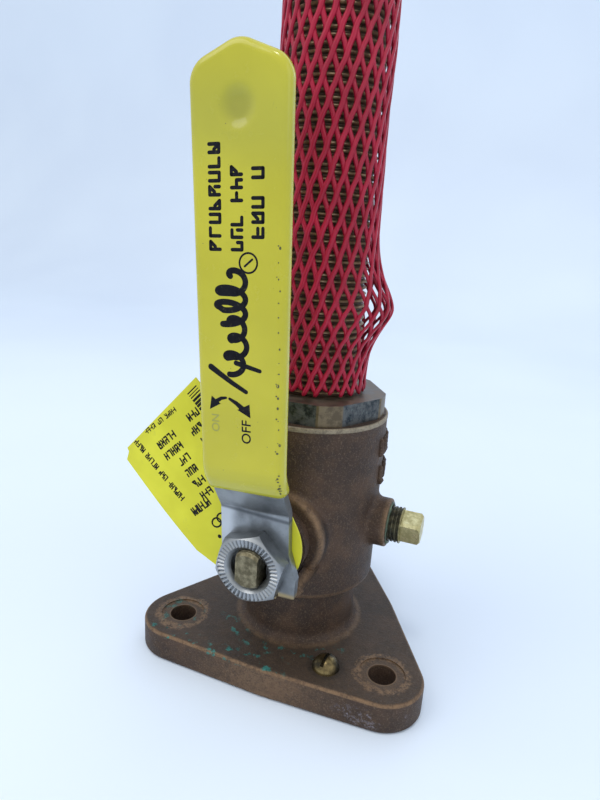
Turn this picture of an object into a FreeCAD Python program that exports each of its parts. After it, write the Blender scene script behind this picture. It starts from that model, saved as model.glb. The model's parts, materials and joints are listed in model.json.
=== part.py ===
import FreeCAD, Part
import math
import os

# A bronze seacock for 1 inch pipe: a flanged quarter-turn ball valve, with its lever on a
# double-D stem and a threaded tail pipe in protective netting. Millimetres. The origin is
# the centre of the flange's underside, +Z runs along the waterway, the stem points along -Y
# and the drain plug along +X.

# ---- driving dimensions ----------------------------------------------------------------

# fits
running_gap = 0.05            # radial clearance of a shaft in its bore
soft_gap = 0.3                # clearance around the card tag and the netting
end_gap = 0.5                 # free depth past the foot of a screwed-in piece
overcut = 1.0                 # how far a cutting tool runs past the face it cuts

# stem axis and ball, which the heights and reaches below are counted from
stem_z = 61.3
ball_r = 19.05
stem_r = 6.6

# thread form, as shares of the pitch
thread_flat = 0.06            # half the flat at a root, and at a bar's crest
thread_land = 0.04            # half the land that a cut groove leaves at its crest
thread_clear = 0.2            # how far a groove's cutter stands past the crest

# flange
flange_t = 12.3
bolt_circle_r = 49.35         # 3-7/8 in bolt circle
bolt_count = 3
first_bolt_deg = -30.0
bolt_hole_r = 5.2             # 13/32 in holes
lobe_r = 15.7
hub_r = 42.0
flange_edge_r = 1.4
spot_face_r = 8.8
spot_face_depth = 0.4

# neck and barrel
neck_r = 22.8
neck_skirt = 4.0              # flange face kept under the foot's fillet
neck_foot_r = 3.92
barrel_z = stem_z - 26.3
barrel_low_r = 28.7
barrel_top_r = 29.2
barrel_top_z = stem_z + 42.35
barrel_edge_r = 2.6
barrel_root_r = 1.2
barrel_lip_h = 1.6
barrel_lip_r = 29.35
barrel_lip_edge = 0.3

# waterway and ball
water_r = 12.7
inlet_r = 15.3                # thread's minor radius, 1 in NPS
inlet_depth = 20.0
inlet_chamfer = 1.2
cavity_r = ball_r + 2.75
seat_outer_r = ball_r - 0.55
seat_inner_r = 12.9
seat_t = 6.0
seat_offset = ball_r - 7.25    # ball centre to the seat's near face
seat_pocket = 3.0
ball_seat_gap = 0.03

# retainer
retainer_z = barrel_top_z + 7.85
retainer_corner_r = 27.7
retainer_across = 51.5
retainer_corner_deg = 1.4
retainer_shank_r = 24.4
seal_section_r = 1.15
seal_drop = 5.0               # seal centre below the barrel's top
seal_slack = 0.15

# stem boss, lugs and gland
boss_r = 17.7
boss_y = 31.0
boss_edge_r = 2.4
boss_fillet_r = 2.5
nose_r = stem_r + 6.3
nose_y = boss_y + 5.0
lug_inner_r = 14.3
lug_outer_r = 19.2
lug_y = nose_y + 6.5
lug_deg = 10.0
lug_root = 6.0                # how far a lug reaches back along the boss
open_lug_deg = -47.0          # the lug face that the lever's tab meets when open
closed_lug_deg = -161.0

# stem
chamber_r = stem_r + 3.4
collar_r = chamber_r + 0.4
collar_front_y = ball_r + 3.35
collar_t = 2.8
collar_back_gap = 1.5
collar_side_gap = 0.2
chamber_back_y = collar_front_y + 2.2
thrust_washer_t = 0.9
tang_t = 6.0
tang_r = 9.5
tang_depth = 5.4
tang_gap = 0.1
shoulder_y = nose_y + 10.4
flats_across = 7.8
stem_thread_pitch = 1.41
stem_thread_depth = 0.5
packing_ring_t = 1.45
packing_rings = 3
stem_tip_h = 1.1              # the chamfer on the stem's outer end
stem_tip_w = 0.9
follower_t = 1.3
gland_across = 2 * chamber_r + 0.6
gland_head_t = 5.4
gland_lift = 0.1              # the nut's head above the nose
gland_edge = 0.8
gland_round = 1.0             # how far its corners stand past its flats

# lever, in the upright position, before it leans
lever_t = 3.0
lever_back_y = shoulder_y + soft_gap
lever_half_w = 12.2
lever_bend_z = stem_z + 18.7
lever_ramp_top_z = lever_bend_z + 15.5
lever_offset = 8.8            # how far the ramp carries the blade outwards
blade_top_half_w = 13.5
blade_shoulder_z = lever_ramp_top_z + 113.6
blade_apex_z = blade_shoulder_z + 5.6
blade_shoulder_r = 3.8
blade_apex_r = 7.0
lever_lean_deg = 2.6
flat_slop = 0.36              # per side, what lets the lever lean on its flats
hang_hole_r = 3.9
hang_hole_z = blade_shoulder_z - 10.1
lever_bend_r = 2.6            # inside radius of the ramp's two bends
lever_foot_drop = 12.0        # stem axis to the plate's lower edge
lever_foot_round = 11.0
ear_drop = 3.8                # stem axis to the ear's widest point
ear_x = 14.8
ear_slope = 0.6               # how much narrower the ear is at the tab's bend
ear_rise = 5.4                # stem axis to where the ear runs out
ear_r = 1.2
ear_top_r = 1.0
tab_relief_w = 0.8            # the notch beside the tab's bend
tab_relief_h = 2.0
tab_drop = 10.9               # stem axis to the tab's bend
tab_inner_x = 8.6
tab_run = 8.9                 # how far the stop tab reaches back
tab_fall = 6.4                # and how far it falls
tab_skew = 3.3
tab_tip_w = 3.6
tab_bend_r = 2.4

# grip
grip_t = 1.5
grip_fit = 0.05
grip_foot_z = lever_bend_z + 8.0
grip_foot_round = 2.5
grip_edge_r = 1.3
dimple_r = 4.2
dimple_depth = 0.9
dimple_slope = 0.8

# handle nut
nut_across = 2 * stem_r + 9.1
nut_t = 6.0
stem_end_y = lever_back_y + lever_t + nut_t + 0.7
nut_turn_deg = 16.0
nut_teeth = 44
teeth_inner_r = stem_r + 1.7
teeth_outer_r = nut_across / 2 - 0.35
tooth_depth = 0.55
tooth_share = 0.72            # groove width over the tooth spacing, at the rim
nut_foot_edge = 0.5
nut_crown_slope = 0.85        # crown height over how far it cuts the corners

# tag
tag_t = 0.6
tag_deg = 136.7               # direction of its long side, seen from the front
tag_end_r = 17.75
tag_end_shift = 5.6
tag_side_shift = 2.4
tag_shoulder_u = 15.0
tag_shoulder_half_w = 21.6
tag_far_u = 59.5
tag_far_half_w = 22.9
tag_notch = 1.6               # how deep the clipped corner is, and how long
tag_notch_run = 3.0
tag_end_wrap_deg = 74.0       # how far the round end wraps on each side
tag_hole_r = stem_r + 1.3

# drain
drain_boss_r = 9.5
drain_boss_x = cavity_r + 13.2
drain_edge_r = 0.8
drain_drill_r = 3.0
plug_r = 6.85
plug_taper = 0.03125          # radius per length, 1 in 16 on the diameter
plug_in = 12.5
plug_out = 5.0
plug_across = 9.5
plug_head = 7.6
plug_face_deg = 16.8
plug_pitch = 1.41
plug_groove = 0.6
plug_crown_r = 6.08           # what rounds the square's corners
plug_edge = 0.9

# bonding screw
screw_x = 22.3
screw_y = -29.9
screw_head_r = 5.3
screw_head_h = 4.6
screw_shank_r = 2.4
screw_length = 9.0
screw_slot_w = 1.3
screw_slot_depth = 1.9
screw_slot_deg = 83.0

# tail pipe and netting
pipe_r = 16.7                 # 1 in pipe thread
pipe_bore_r = 13.3
pipe_top_z = 256.0
pipe_engaged = 19.5
pipe_pitch = 2.209            # 11.5 threads per inch
pipe_thread_depth = 1.35
pipe_end_chamfer = 1.5
net_t = 2.4
net_low_z = retainer_z + 0.4
net_top_z = pipe_top_z - 2.5
net_bulge_z = net_low_z + 31.1
net_bulge_half = 16.0
net_bulge_deg = 20.0
net_bulge_shift = 4.2         # how far the bulge's ring moves to its side
net_bulge_swell = 3.6         # and how much wider it is
net_top_flare = 0.4

# ---- shared helpers --------------------------------------------------------------------

STEM_AXIS = FreeCAD.Vector(0, -1, 0)
UP = FreeCAD.Vector(0, 0, 1)


def point(x, y, z):
    return FreeCAD.Vector(x, y, z)


def upright(radius, low, high):
    """A cylinder round the waterway's axis, from low to high."""
    return Part.makeCylinder(radius, high - low, point(0, 0, low), UP)


def stem_round(radius, back, front):
    """A cylinder round the stem's axis; back and front are distances along -Y."""
    return Part.makeCylinder(radius, front - back, point(0, -back, stem_z), STEM_AXIS)


def drain_cone(inner_r, outer_r, inner_x, outer_x):
    """A cone round the drain's axis, or a cylinder where both radii are equal."""
    start = point(inner_x, 0, stem_z)
    direction = point(1, 0, 0)
    if abs(inner_r - outer_r) < 1e-6:
        return Part.makeCylinder(inner_r, outer_x - inner_x, start, direction)
    return Part.makeCone(inner_r, outer_r, outer_x - inner_x, start, direction)


def rounded_loop(corners, place):
    """A closed wire through corners (u, v, radius); place turns u, v into a 3-D point."""
    count = len(corners)
    stretches = []
    for index in range(count):
        u, v, radius = corners[index]
        before = corners[index - 1]
        after = corners[(index + 1) % count]
        in_u, in_v = before[0] - u, before[1] - v
        out_u, out_v = after[0] - u, after[1] - v
        in_length = math.hypot(in_u, in_v)
        out_length = math.hypot(out_u, out_v)
        in_u, in_v = in_u / in_length, in_v / in_length
        out_u, out_v = out_u / out_length, out_v / out_length
        if radius <= 0:
            stretches.append(((u, v), None, (u, v)))
            continue
        half = math.acos(max(-1.0, min(1.0, in_u * out_u + in_v * out_v))) / 2
        reach = radius / math.tan(half)
        mid_u, mid_v = in_u + out_u, in_v + out_v
        mid_length = math.hypot(mid_u, mid_v)
        inward = (radius / math.sin(half) - radius) / mid_length
        start = (u + in_u * reach, v + in_v * reach)
        middle = (u + mid_u * inward, v + mid_v * inward)
        end = (u + out_u * reach, v + out_v * reach)
        stretches.append((start, middle, end))
    edges = []
    for index in range(count):
        start, middle, end = stretches[index]
        following = stretches[(index + 1) % count][0]
        if middle is not None:
            edges.append(Part.Arc(place(*start), place(*middle), place(*end)).toShape())
        if math.dist(end, following) > 1e-6:
            edges.append(Part.makeLine(place(*end), place(*following)))
    return Part.Wire(edges)


def turned(corners):
    """A solid of revolution round Z from corners (radius, height, corner rounding)."""
    wire = rounded_loop(corners, lambda r, z: point(r, 0, z))
    return Part.Face(wire).revolve(point(0, 0, 0), UP, 360)


def hexagon(across, low, high, turn_deg=0.0):
    """A hexagonal prism round Z with a corner at turn_deg."""
    corner_r = across / math.sqrt(3)
    corners = []
    for index in range(6):
        angle = math.radians(turn_deg + 60 * index)
        corners.append((corner_r * math.cos(angle), corner_r * math.sin(angle), 0))
    wire = rounded_loop(corners, lambda x, y: point(x, y, low))
    return Part.Face(wire).extrude(point(0, 0, high - low))


def onto_stem(shape):
    """Moves a shape made round Z onto the stem's axis, with +Z turned to -Y."""
    moved = shape.copy()
    moved.rotate(point(0, 0, 0), point(1, 0, 0), 90)
    moved.translate(point(0, 0, stem_z))
    return moved


def onto_drain(shape):
    """Moves a shape made round Z onto the drain's axis, with +Z turned to +X."""
    moved = shape.copy()
    moved.rotate(point(0, 0, 0), point(0, 1, 0), 90)
    moved.translate(point(0, 0, stem_z))
    return moved


def thread_grooves(crest_r, depth, pitch, low, high):
    """Ring-shaped V grooves round Z that stand in for a thread."""
    grooves = []
    height = low + pitch / 2
    while height < high - pitch / 4:
        corners = [
            (crest_r - depth, height - pitch * thread_flat, 0),
            (crest_r + thread_clear, height - pitch * (0.5 - thread_land), 0),
            (crest_r + thread_clear, height + pitch * (0.5 - thread_land), 0),
            (crest_r - depth, height + pitch * thread_flat, 0),
        ]
        grooves.append(turned(corners))
        height += pitch
    return grooves


def threaded_bar(crest_r, root_r, pitch, low, high, core_r):
    """A ring-threaded bar or tube round Z as one turned solid; core_r is its bore."""
    corners = [(core_r, low, 0), (root_r, low, 0)]
    turns = int((high - low) / pitch)
    for index in range(turns):
        start = low + index * pitch
        corners.append((root_r, start + pitch * thread_flat, 0))
        corners.append((crest_r, start + pitch * (0.5 - thread_flat), 0))
        corners.append((crest_r, start + pitch * (0.5 + thread_flat), 0))
        corners.append((root_r, start + pitch * (1 - thread_flat), 0))
    corners.append((root_r, high, 0))
    corners.append((core_r, high, 0))
    return turned(corners)


def lobe_angles():
    return [first_bolt_deg + index * 360 / bolt_count for index in range(bolt_count)]


def on_circle(radius, degrees):
    angle = math.radians(degrees)
    return radius * math.cos(angle), radius * math.sin(angle)


# ---- the cast body ---------------------------------------------------------------------

def flange_plate():
    """The flange: the outline round three lobes and the hub, with rounded rims."""
    step = 360 / bolt_count
    wrap = math.degrees(math.acos((hub_r - lobe_r) / bolt_circle_r))
    wrap = min(wrap, step / 2)
    edges = []
    ends = []
    for lobe_deg in lobe_angles():
        centre_x, centre_y = on_circle(bolt_circle_r, lobe_deg)
        spots = []
        for angle in (lobe_deg - wrap, lobe_deg, lobe_deg + wrap):
            x, y = on_circle(lobe_r, angle)
            spots.append(point(centre_x + x, centre_y + y, 0))
        edges.append(Part.Arc(*spots).toShape())
        ends.append((spots[0], spots[2], lobe_deg))
    for index, (_, leaving, lobe_deg) in enumerate(ends):
        arriving = ends[(index + 1) % bolt_count][0]
        if wrap < step / 2 - 1e-6:
            hub_spots = []
            for angle in (lobe_deg + wrap, lobe_deg + step / 2, lobe_deg + step - wrap):
                hub_spots.append(point(*on_circle(hub_r, angle), 0))
            edges.append(Part.makeLine(leaving, hub_spots[0]))
            edges.append(Part.Arc(*hub_spots).toShape())
            edges.append(Part.makeLine(hub_spots[2], arriving))
        else:
            edges.append(Part.makeLine(leaving, arriving))
    outline = Part.Wire(Part.__sortEdges__(edges))
    plate = Part.Face(outline).extrude(point(0, 0, flange_t))
    rims = []
    for edge in plate.Edges:
        if edge.BoundBox.ZLength < 1e-6:
            rims.append(edge)
    return plate.makeFillet(flange_edge_r, rims)


def barrel_shell():
    """Neck and barrel as one turned shape, filleted into the flange and the barrel's foot."""
    lip_z = barrel_top_z - barrel_lip_h
    return turned([
        (0, flange_t / 2, 0),
        (neck_r + neck_skirt, flange_t / 2, 0),
        (neck_r + neck_skirt, flange_t, 0),
        (neck_r, flange_t, neck_foot_r),
        (neck_r, barrel_z, barrel_root_r),
        (barrel_low_r, barrel_z, barrel_edge_r),
        (barrel_top_r, lip_z, 0),
        (barrel_lip_r, lip_z + barrel_lip_edge, 0),
        (barrel_lip_r, barrel_top_z, barrel_lip_edge),
        (0, barrel_top_z, 0),
    ])


def stem_boss():
    """The round boss that carries the stem, with its front rim rounded."""
    boss = stem_round(boss_r, 0, boss_y)
    rims = [edge for edge in boss.Edges if abs(edge.BoundBox.YMin + boss_y) < 1e-4
            and edge.BoundBox.YLength < 1e-4]
    return boss.makeFillet(boss_edge_r, rims)


def stop_lug(first_deg, last_deg):
    """A cast lug on the boss's rim between two angles, seen from the front."""
    root_y = boss_y - lug_root
    outer = stem_round(lug_outer_r, root_y, lug_y)
    inner = stem_round(lug_inner_r, root_y - overcut, lug_y + overcut)
    ring = outer.cut(inner)
    reach = lug_outer_r * 2
    corners = [(0, 0, 0)]
    for angle in (first_deg, last_deg):
        corners.append((*on_circle(reach, angle), 0))
    wedge_wire = rounded_loop(corners, lambda x, z: point(x, overcut - root_y, stem_z + z))
    wedge = Part.Face(wedge_wire).extrude(point(0, root_y - lug_y - 2 * overcut, 0))
    return ring.common(wedge)


def ball_cavity():
    """Everything that is machined away inside the body along the waterway."""
    seat_floor_z = stem_z - seat_offset - seat_t
    shoulder_z = stem_z + seat_offset + seat_t - seat_pocket - end_gap
    cuts = [
        upright(inlet_r, -overcut, inlet_depth),
        upright(water_r, inlet_depth - overcut, stem_z),
        upright(seat_outer_r + running_gap, seat_floor_z, stem_z),
        upright(cavity_r, seat_floor_z + seat_pocket, shoulder_z + overcut),
        upright(retainer_shank_r + running_gap, shoulder_z, barrel_top_z + overcut),
        Part.makeCone(inlet_r + inlet_chamfer, inlet_r, inlet_chamfer, point(0, 0, 0), UP),
    ]
    return cuts


def stem_cuts():
    """The stem's pocket, bore and packing chamber."""
    pocket_back = collar_front_y - collar_t - collar_back_gap
    pocket_front = collar_front_y + thrust_washer_t + running_gap
    return [
        stem_round(collar_r + collar_side_gap, pocket_back, pocket_front),
        stem_round(stem_r + running_gap, pocket_back, nose_y + overcut),
        stem_round(chamber_r + running_gap, chamber_back_y, nose_y + overcut),
    ]


def plug_radius(x):
    """The plug's radius at x, from its taper, with its nominal size at the boss's face."""
    return plug_r + (x - drain_boss_x) * plug_taper


def seacock_body():
    shell = flange_plate().fuse(barrel_shell())
    drain_boss = drain_cone(drain_boss_r, drain_boss_r, 0, drain_boss_x)
    drain_rims = [edge for edge in drain_boss.Edges
                  if abs(edge.BoundBox.XMin - drain_boss_x) < 1e-4]
    drain_boss = drain_boss.makeFillet(drain_edge_r, drain_rims)
    shell = shell.fuse([stem_boss(), drain_boss]).removeSplitter()
    joints = []
    for edge in shell.Edges:
        box = edge.BoundBox
        on_boss = box.ZMin > stem_z - boss_r - 0.1 and box.ZMax < stem_z + boss_r + 0.1
        front = on_boss and box.YMax < -10 and box.YMin > -barrel_top_r - 1 and box.YLength > 3
        side = on_boss and box.XMin > 20 and box.XMax < barrel_top_r + 1 and box.YLength > 3
        if front or (side and box.ZLength > drain_boss_r):
            joints.append(edge)
    shell = shell.makeFillet(boss_fillet_r, joints)
    shell = shell.fuse([
        stem_round(nose_r, boss_y - 2.0, nose_y),
        stop_lug(open_lug_deg, open_lug_deg + lug_deg),
        stop_lug(closed_lug_deg - lug_deg, closed_lug_deg),
    ])
    cuts = ball_cavity() + stem_cuts()
    for lobe_deg in lobe_angles():
        x, y = on_circle(bolt_circle_r, lobe_deg)
        cuts.append(Part.makeCylinder(bolt_hole_r, flange_t + 2 * overcut,
                                      point(x, y, -overcut), UP))
        spot = point(x, y, flange_t - spot_face_depth)
        cuts.append(Part.makeCylinder(spot_face_r, overcut, spot, UP))
    hole_bottom = drain_boss_x - plug_in - end_gap
    cuts.append(drain_cone(plug_radius(hole_bottom) + running_gap,
                           plug_radius(drain_boss_x + overcut) + running_gap,
                           hole_bottom, drain_boss_x + overcut))
    cuts.append(drain_cone(drain_drill_r, drain_drill_r,
                           cavity_r - 2 * overcut, hole_bottom + overcut))
    screw_foot = flange_t - screw_length - end_gap
    cuts.append(Part.makeCylinder(screw_shank_r + running_gap, flange_t,
                                  point(screw_x, screw_y, screw_foot), UP))
    return shell.cut(cuts).removeSplitter()


# ---- the retainer and the seats --------------------------------------------------------

def retainer_foot_z():
    return stem_z + seat_offset + seat_t - seat_pocket


def retainer():
    head = hexagon(retainer_across, barrel_top_z, retainer_z, retainer_corner_deg)
    head = head.common(upright(retainer_corner_r, barrel_top_z, retainer_z))
    body = head.fuse(upright(retainer_shank_r, retainer_foot_z(), barrel_top_z + overcut))
    seal_z = barrel_top_z - seal_drop
    groove_low = seal_z - seal_section_r - seal_slack
    groove_high = seal_z + seal_section_r + seal_slack
    groove_r = retainer_shank_r - 2 * seal_section_r - running_gap
    groove = upright(retainer_shank_r + overcut, groove_low, groove_high)
    groove = groove.cut(upright(groove_r, groove_low, groove_high))
    seat_floor = retainer_foot_z() + seat_pocket
    return body.cut([
        groove,
        upright(water_r, retainer_foot_z() - overcut, retainer_z + overcut),
        upright(seat_outer_r + running_gap, retainer_foot_z() - overcut, seat_floor),
        upright(pipe_r + running_gap, retainer_z - pipe_engaged - end_gap,
                retainer_z + overcut),
    ]).removeSplitter()


def retainer_seal():
    centre_r = retainer_shank_r - seal_section_r
    return Part.makeTorus(centre_r, seal_section_r,
                          point(0, 0, barrel_top_z - seal_drop), UP)


def seat(side):
    """A seat ring under (side -1) or over (side +1) the ball."""
    near = stem_z + side * seat_offset
    far = stem_z + side * (seat_offset + seat_t)
    ring = upright(seat_outer_r, min(near, far), max(near, far))
    ring = ring.cut(upright(seat_inner_r, min(near, far) - 1, max(near, far) + 1))
    return ring.cut(Part.makeSphere(ball_r + ball_seat_gap, point(0, 0, stem_z)))


def ball():
    slot_t = tang_t + 2 * tang_gap
    slot = Part.makeBox(2 * ball_r, tang_depth + tang_gap, slot_t,
                        point(-ball_r, -ball_r, stem_z - slot_t / 2))
    sphere = Part.makeSphere(ball_r, point(0, 0, stem_z))
    return sphere.cut([upright(water_r, stem_z - ball_r - 1, stem_z + ball_r + 1), slot])


# ---- the stem and its packing ----------------------------------------------------------

def stem():
    collar_back = collar_front_y - collar_t
    tang_back = ball_r - tang_depth
    tang = stem_round(tang_r, tang_back, collar_back + 0.5)
    blade = Part.makeBox(4 * tang_r, collar_back + 2 - tang_back + 2, tang_t,
                         point(-2 * tang_r, -collar_back - 2, stem_z - tang_t / 2))
    collar = stem_round(collar_r, collar_back, collar_front_y)
    shaft = stem_round(stem_r, collar_back, stem_end_y)
    tip_cone = Part.makeCone(stem_r, stem_r - stem_tip_w, stem_tip_h,
                             point(0, -stem_end_y + stem_tip_h, stem_z), STEM_AXIS)
    shaft = shaft.common(stem_round(stem_r, 0, stem_end_y - stem_tip_h).fuse(tip_cone))
    thread_start = lever_back_y + lever_t
    grooves = thread_grooves(stem_r, stem_thread_depth, stem_thread_pitch,
                             thread_start, stem_end_y - end_gap)
    shaft = shaft.cut([onto_stem(groove) for groove in grooves])
    flat_sides = []
    for side in (-1, 1):
        near_x = flats_across / 2 if side > 0 else -flats_across / 2 - stem_r
        flat_sides.append(Part.makeBox(stem_r, stem_end_y, 4 * stem_r,
                                       point(near_x, -shoulder_y - stem_end_y,
                                             stem_z - 2 * stem_r)))
    shaft = shaft.cut(flat_sides)
    return shaft.fuse([collar, tang.common(blade)]).removeSplitter()


def stem_ring(inner_r, outer_r, back, front):
    return stem_round(outer_r, back, front).cut(stem_round(inner_r, back - 1, front + 1))


def stem_thrust_washer():
    return stem_ring(stem_r + running_gap, collar_r, collar_front_y,
                     collar_front_y + thrust_washer_t)


def packing_front_y():
    return chamber_back_y + packing_rings * (packing_ring_t + running_gap)


def stem_packing():
    rings = []
    for index in range(packing_rings):
        back = chamber_back_y + index * (packing_ring_t + running_gap)
        rings.append(stem_ring(stem_r + running_gap, chamber_r, back, back + packing_ring_t))
    return Part.makeCompound(rings)


def gland_follower():
    return stem_ring(stem_r + running_gap, chamber_r, packing_front_y(),
                     packing_front_y() + follower_t)


def gland_nut():
    foot_y = nose_y + gland_lift
    head = onto_stem(hexagon(gland_across, foot_y, foot_y + gland_head_t))
    chamfer = stem_round(gland_across / 2 + gland_round, foot_y - overcut, foot_y + gland_head_t)
    rims = [edge for edge in chamfer.Edges if edge.BoundBox.YLength < 1e-4]
    head = head.common(chamfer.makeChamfer(gland_edge, rims))
    shank_back = packing_front_y() + follower_t + running_gap
    shank = stem_round(chamber_r, shank_back, foot_y + overcut)
    bore = stem_round(stem_r + running_gap, 0, stem_end_y)
    return head.fuse(shank).cut(bore).removeSplitter()


# ---- the lever, its grip and its nut ---------------------------------------------------

def lean(shape):
    """Tilts a shape about the stem, as the lever stands: its top leans towards -X."""
    leaning = shape.copy()
    leaning.rotate(point(0, 0, stem_z), point(0, 1, 0), -lever_lean_deg)
    return leaning


def blade_side(grow, low_z):
    """The lever's bent side profile from low_z up, thickened by grow on each side."""
    back = lever_back_y - grow
    front = lever_back_y + lever_t + grow
    slope = lever_offset / (lever_ramp_top_z - lever_bend_z)
    bend_shift = (math.hypot(1, slope) - 1) / slope
    front_shift = grow * bend_shift
    back_shift = (grow + lever_t) * bend_shift
    inner_bend = lever_bend_r - grow
    outer_bend = lever_bend_r + lever_t + grow
    top = blade_apex_z + grow + 2
    corners = [
        (front, low_z, 0),
        (front, lever_bend_z - front_shift, inner_bend),
        (front + lever_offset, lever_ramp_top_z - front_shift, outer_bend),
        (front + lever_offset, top, 0),
        (back + lever_offset, top, 0),
        (back + lever_offset, lever_ramp_top_z + back_shift, inner_bend),
        (back, lever_bend_z + back_shift, outer_bend),
        (back, low_z, 0),
    ]
    half_width = 3 * lever_half_w
    wire = rounded_loop(corners, lambda out, z: point(-half_width, -out, z))
    return Part.Face(wire).extrude(point(2 * half_width, 0, 0))


def front_prism(corners):
    """A prism along Y from an outline seen from the front."""
    wire = rounded_loop(corners, lambda x, z: point(x, -2 * stem_end_y, z))
    return Part.Face(wire).extrude(point(0, 2 * stem_end_y, 0))


def blade_half_w(height):
    """Half the bare blade's width at a height, along its straight taper."""
    share = (height - lever_bend_z) / (blade_shoulder_z - lever_bend_z)
    return lever_half_w + share * (blade_top_half_w - lever_half_w)


def blade_outline(grow):
    """The blade's gabled end, grown by grow, right side first."""
    top_half = blade_top_half_w + grow
    slope = (blade_apex_z - blade_shoulder_z) / blade_top_half_w
    slant = math.hypot(1, slope)
    shoulder_z = blade_shoulder_z + grow * (slant - slope)
    return [
        (top_half, shoulder_z, blade_shoulder_r + grow),
        (0, blade_apex_z + grow * slant, blade_apex_r + grow),
        (-top_half, shoulder_z, blade_shoulder_r + grow),
    ]


def lever_plate():
    """The lever without its stop tab: plate, ramp and blade."""
    foot_z = stem_z - lever_foot_drop
    tab_z = stem_z - tab_drop
    corners = [
        (-lever_half_w, foot_z, lever_foot_round),
        (tab_inner_x - tab_relief_w, foot_z, 0),
        (tab_inner_x - tab_relief_w, tab_z + tab_relief_h, 0),
        (tab_inner_x, tab_z + tab_relief_h, 0),
        (tab_inner_x, tab_z, 0),
        (ear_x - ear_slope, tab_z, 0),
        (ear_x, stem_z - ear_drop, ear_r),
        (lever_half_w, stem_z + ear_rise, ear_top_r),
        (lever_half_w, lever_bend_z, 0),
    ]
    outline = front_prism(corners + blade_outline(0) + [(-lever_half_w, lever_bend_z, 0)])
    return outline.common(blade_side(0, foot_z - 1))


def stop_tab():
    """The tab at the plate's lower corner, bent back and down towards the boss."""
    front = lever_back_y + lever_t
    bend_z = stem_z - tab_drop
    slant = math.hypot(tab_run, tab_fall)
    tip_x = tab_inner_x - tab_skew
    tip_y = -front + tab_run
    tip_z = bend_z - tab_fall
    corners = [
        point(tab_inner_x, -front, bend_z),
        point(ear_x - ear_slope, -front, bend_z),
        point(tip_x + tab_tip_w, tip_y, tip_z),
        point(tip_x, tip_y, tip_z),
    ]
    face = Part.Face(Part.makePolygon(corners + corners[:1]))
    thickness = point(0, tab_fall / slant * lever_t, tab_run / slant * lever_t)
    return face.extrude(thickness)


def lever():
    blank = lever_plate().fuse(stop_tab()).removeSplitter()
    front = lever_back_y + lever_t
    creases = []
    for edge in blank.Edges:
        box = edge.BoundBox
        level = abs(box.ZMax - stem_z + tab_drop) < 0.01 and box.ZLength < 0.01
        if level and abs(box.YMin + front) < 0.01 and box.YLength < 0.01 and box.XMin > 1:
            creases.append(edge)
    blank = blank.makeFillet(tab_bend_r, creases)
    hang_hole = stem_round(hang_hole_r, 0, 2 * stem_end_y)
    hang_hole.translate(point(0, 0, hang_hole_z - stem_z))
    leaning = lean(blank.cut(hang_hole))
    slot_half = flats_across / 2 + flat_slop
    flats = Part.makeBox(2 * slot_half, 2 * stem_end_y, 4 * stem_r,
                         point(-slot_half, -2 * stem_end_y, stem_z - 2 * stem_r))
    hole = stem_round(stem_r + 2 * running_gap, 0, 2 * stem_end_y).common(lean(flats))
    return leaning.cut(hole)


def lever_sleeve(grow, foot_z, foot_round):
    """The blade from foot_z up, grown by grow; foot_round rounds its two lower corners."""
    low_half = blade_half_w(foot_z) + grow
    corners = [(-low_half, foot_z, foot_round), (low_half, foot_z, foot_round)]
    outline = front_prism(corners + blade_outline(grow))
    return outline.common(blade_side(grow, foot_z - 10))


def lever_grip():
    """The vinyl sleeve dipped over the blade, open at its foot, dimpled at the hole."""
    skin = lever_sleeve(grip_t, grip_foot_z, grip_foot_round)
    front = lever_back_y + lever_t + lever_offset + grip_t
    rims = []
    for edge in skin.Edges:
        box = edge.BoundBox
        crease = box.XLength > lever_half_w and box.ZLength < 0.01
        straight_back = box.XLength < 0.01 and box.ZLength < 0.01
        if not crease and not straight_back:
            rims.append(edge)
    skin = skin.makeFillet(grip_edge_r, rims)
    core = lever_sleeve(grip_fit, grip_foot_z - 5, 0)
    dimple = Part.makeCone(dimple_r - dimple_slope, dimple_r, dimple_depth,
                           point(0, -(front - dimple_depth), hang_hole_z), STEM_AXIS)
    return lean(skin.cut([core, dimple]))


def handle_nut():
    back = lever_back_y + lever_t
    front = back + nut_t
    block = hexagon(nut_across, back, front, nut_turn_deg)
    corner_r = nut_across / math.sqrt(3)
    chamfer_h = (corner_r - teeth_outer_r) * nut_crown_slope
    turned_block = turned([
        (0, back, 0),
        (corner_r - nut_foot_edge, back, 0),
        (corner_r, back + nut_foot_edge, 0),
        (corner_r, front - chamfer_h, 0),
        (teeth_outer_r, front, 0),
        (0, front, 0),
    ])
    block = block.common(turned_block)
    cuts = [upright(stem_r + running_gap, back - overcut, front + overcut)]
    flare = teeth_inner_r - stem_r - running_gap
    cuts.append(Part.makeCone(stem_r + running_gap, teeth_inner_r + overcut, flare + overcut,
                              point(0, 0, front - flare), UP))
    width = math.pi * teeth_outer_r / nut_teeth * tooth_share
    for index in range(nut_teeth):
        groove = Part.Face(Part.makePolygon([
            point(teeth_inner_r, -width, front + running_gap),
            point(teeth_inner_r, width, front + running_gap),
            point(teeth_inner_r, 0, front - tooth_depth),
            point(teeth_inner_r, -width, front + running_gap),
        ])).extrude(point(teeth_outer_r - teeth_inner_r + running_gap, 0, 0))
        groove.rotate(point(0, 0, 0), UP, 360 * index / nut_teeth)
        cuts.append(groove)
    return onto_stem(block.cut(cuts))


# ---- the card tag ----------------------------------------------------------------------

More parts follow.
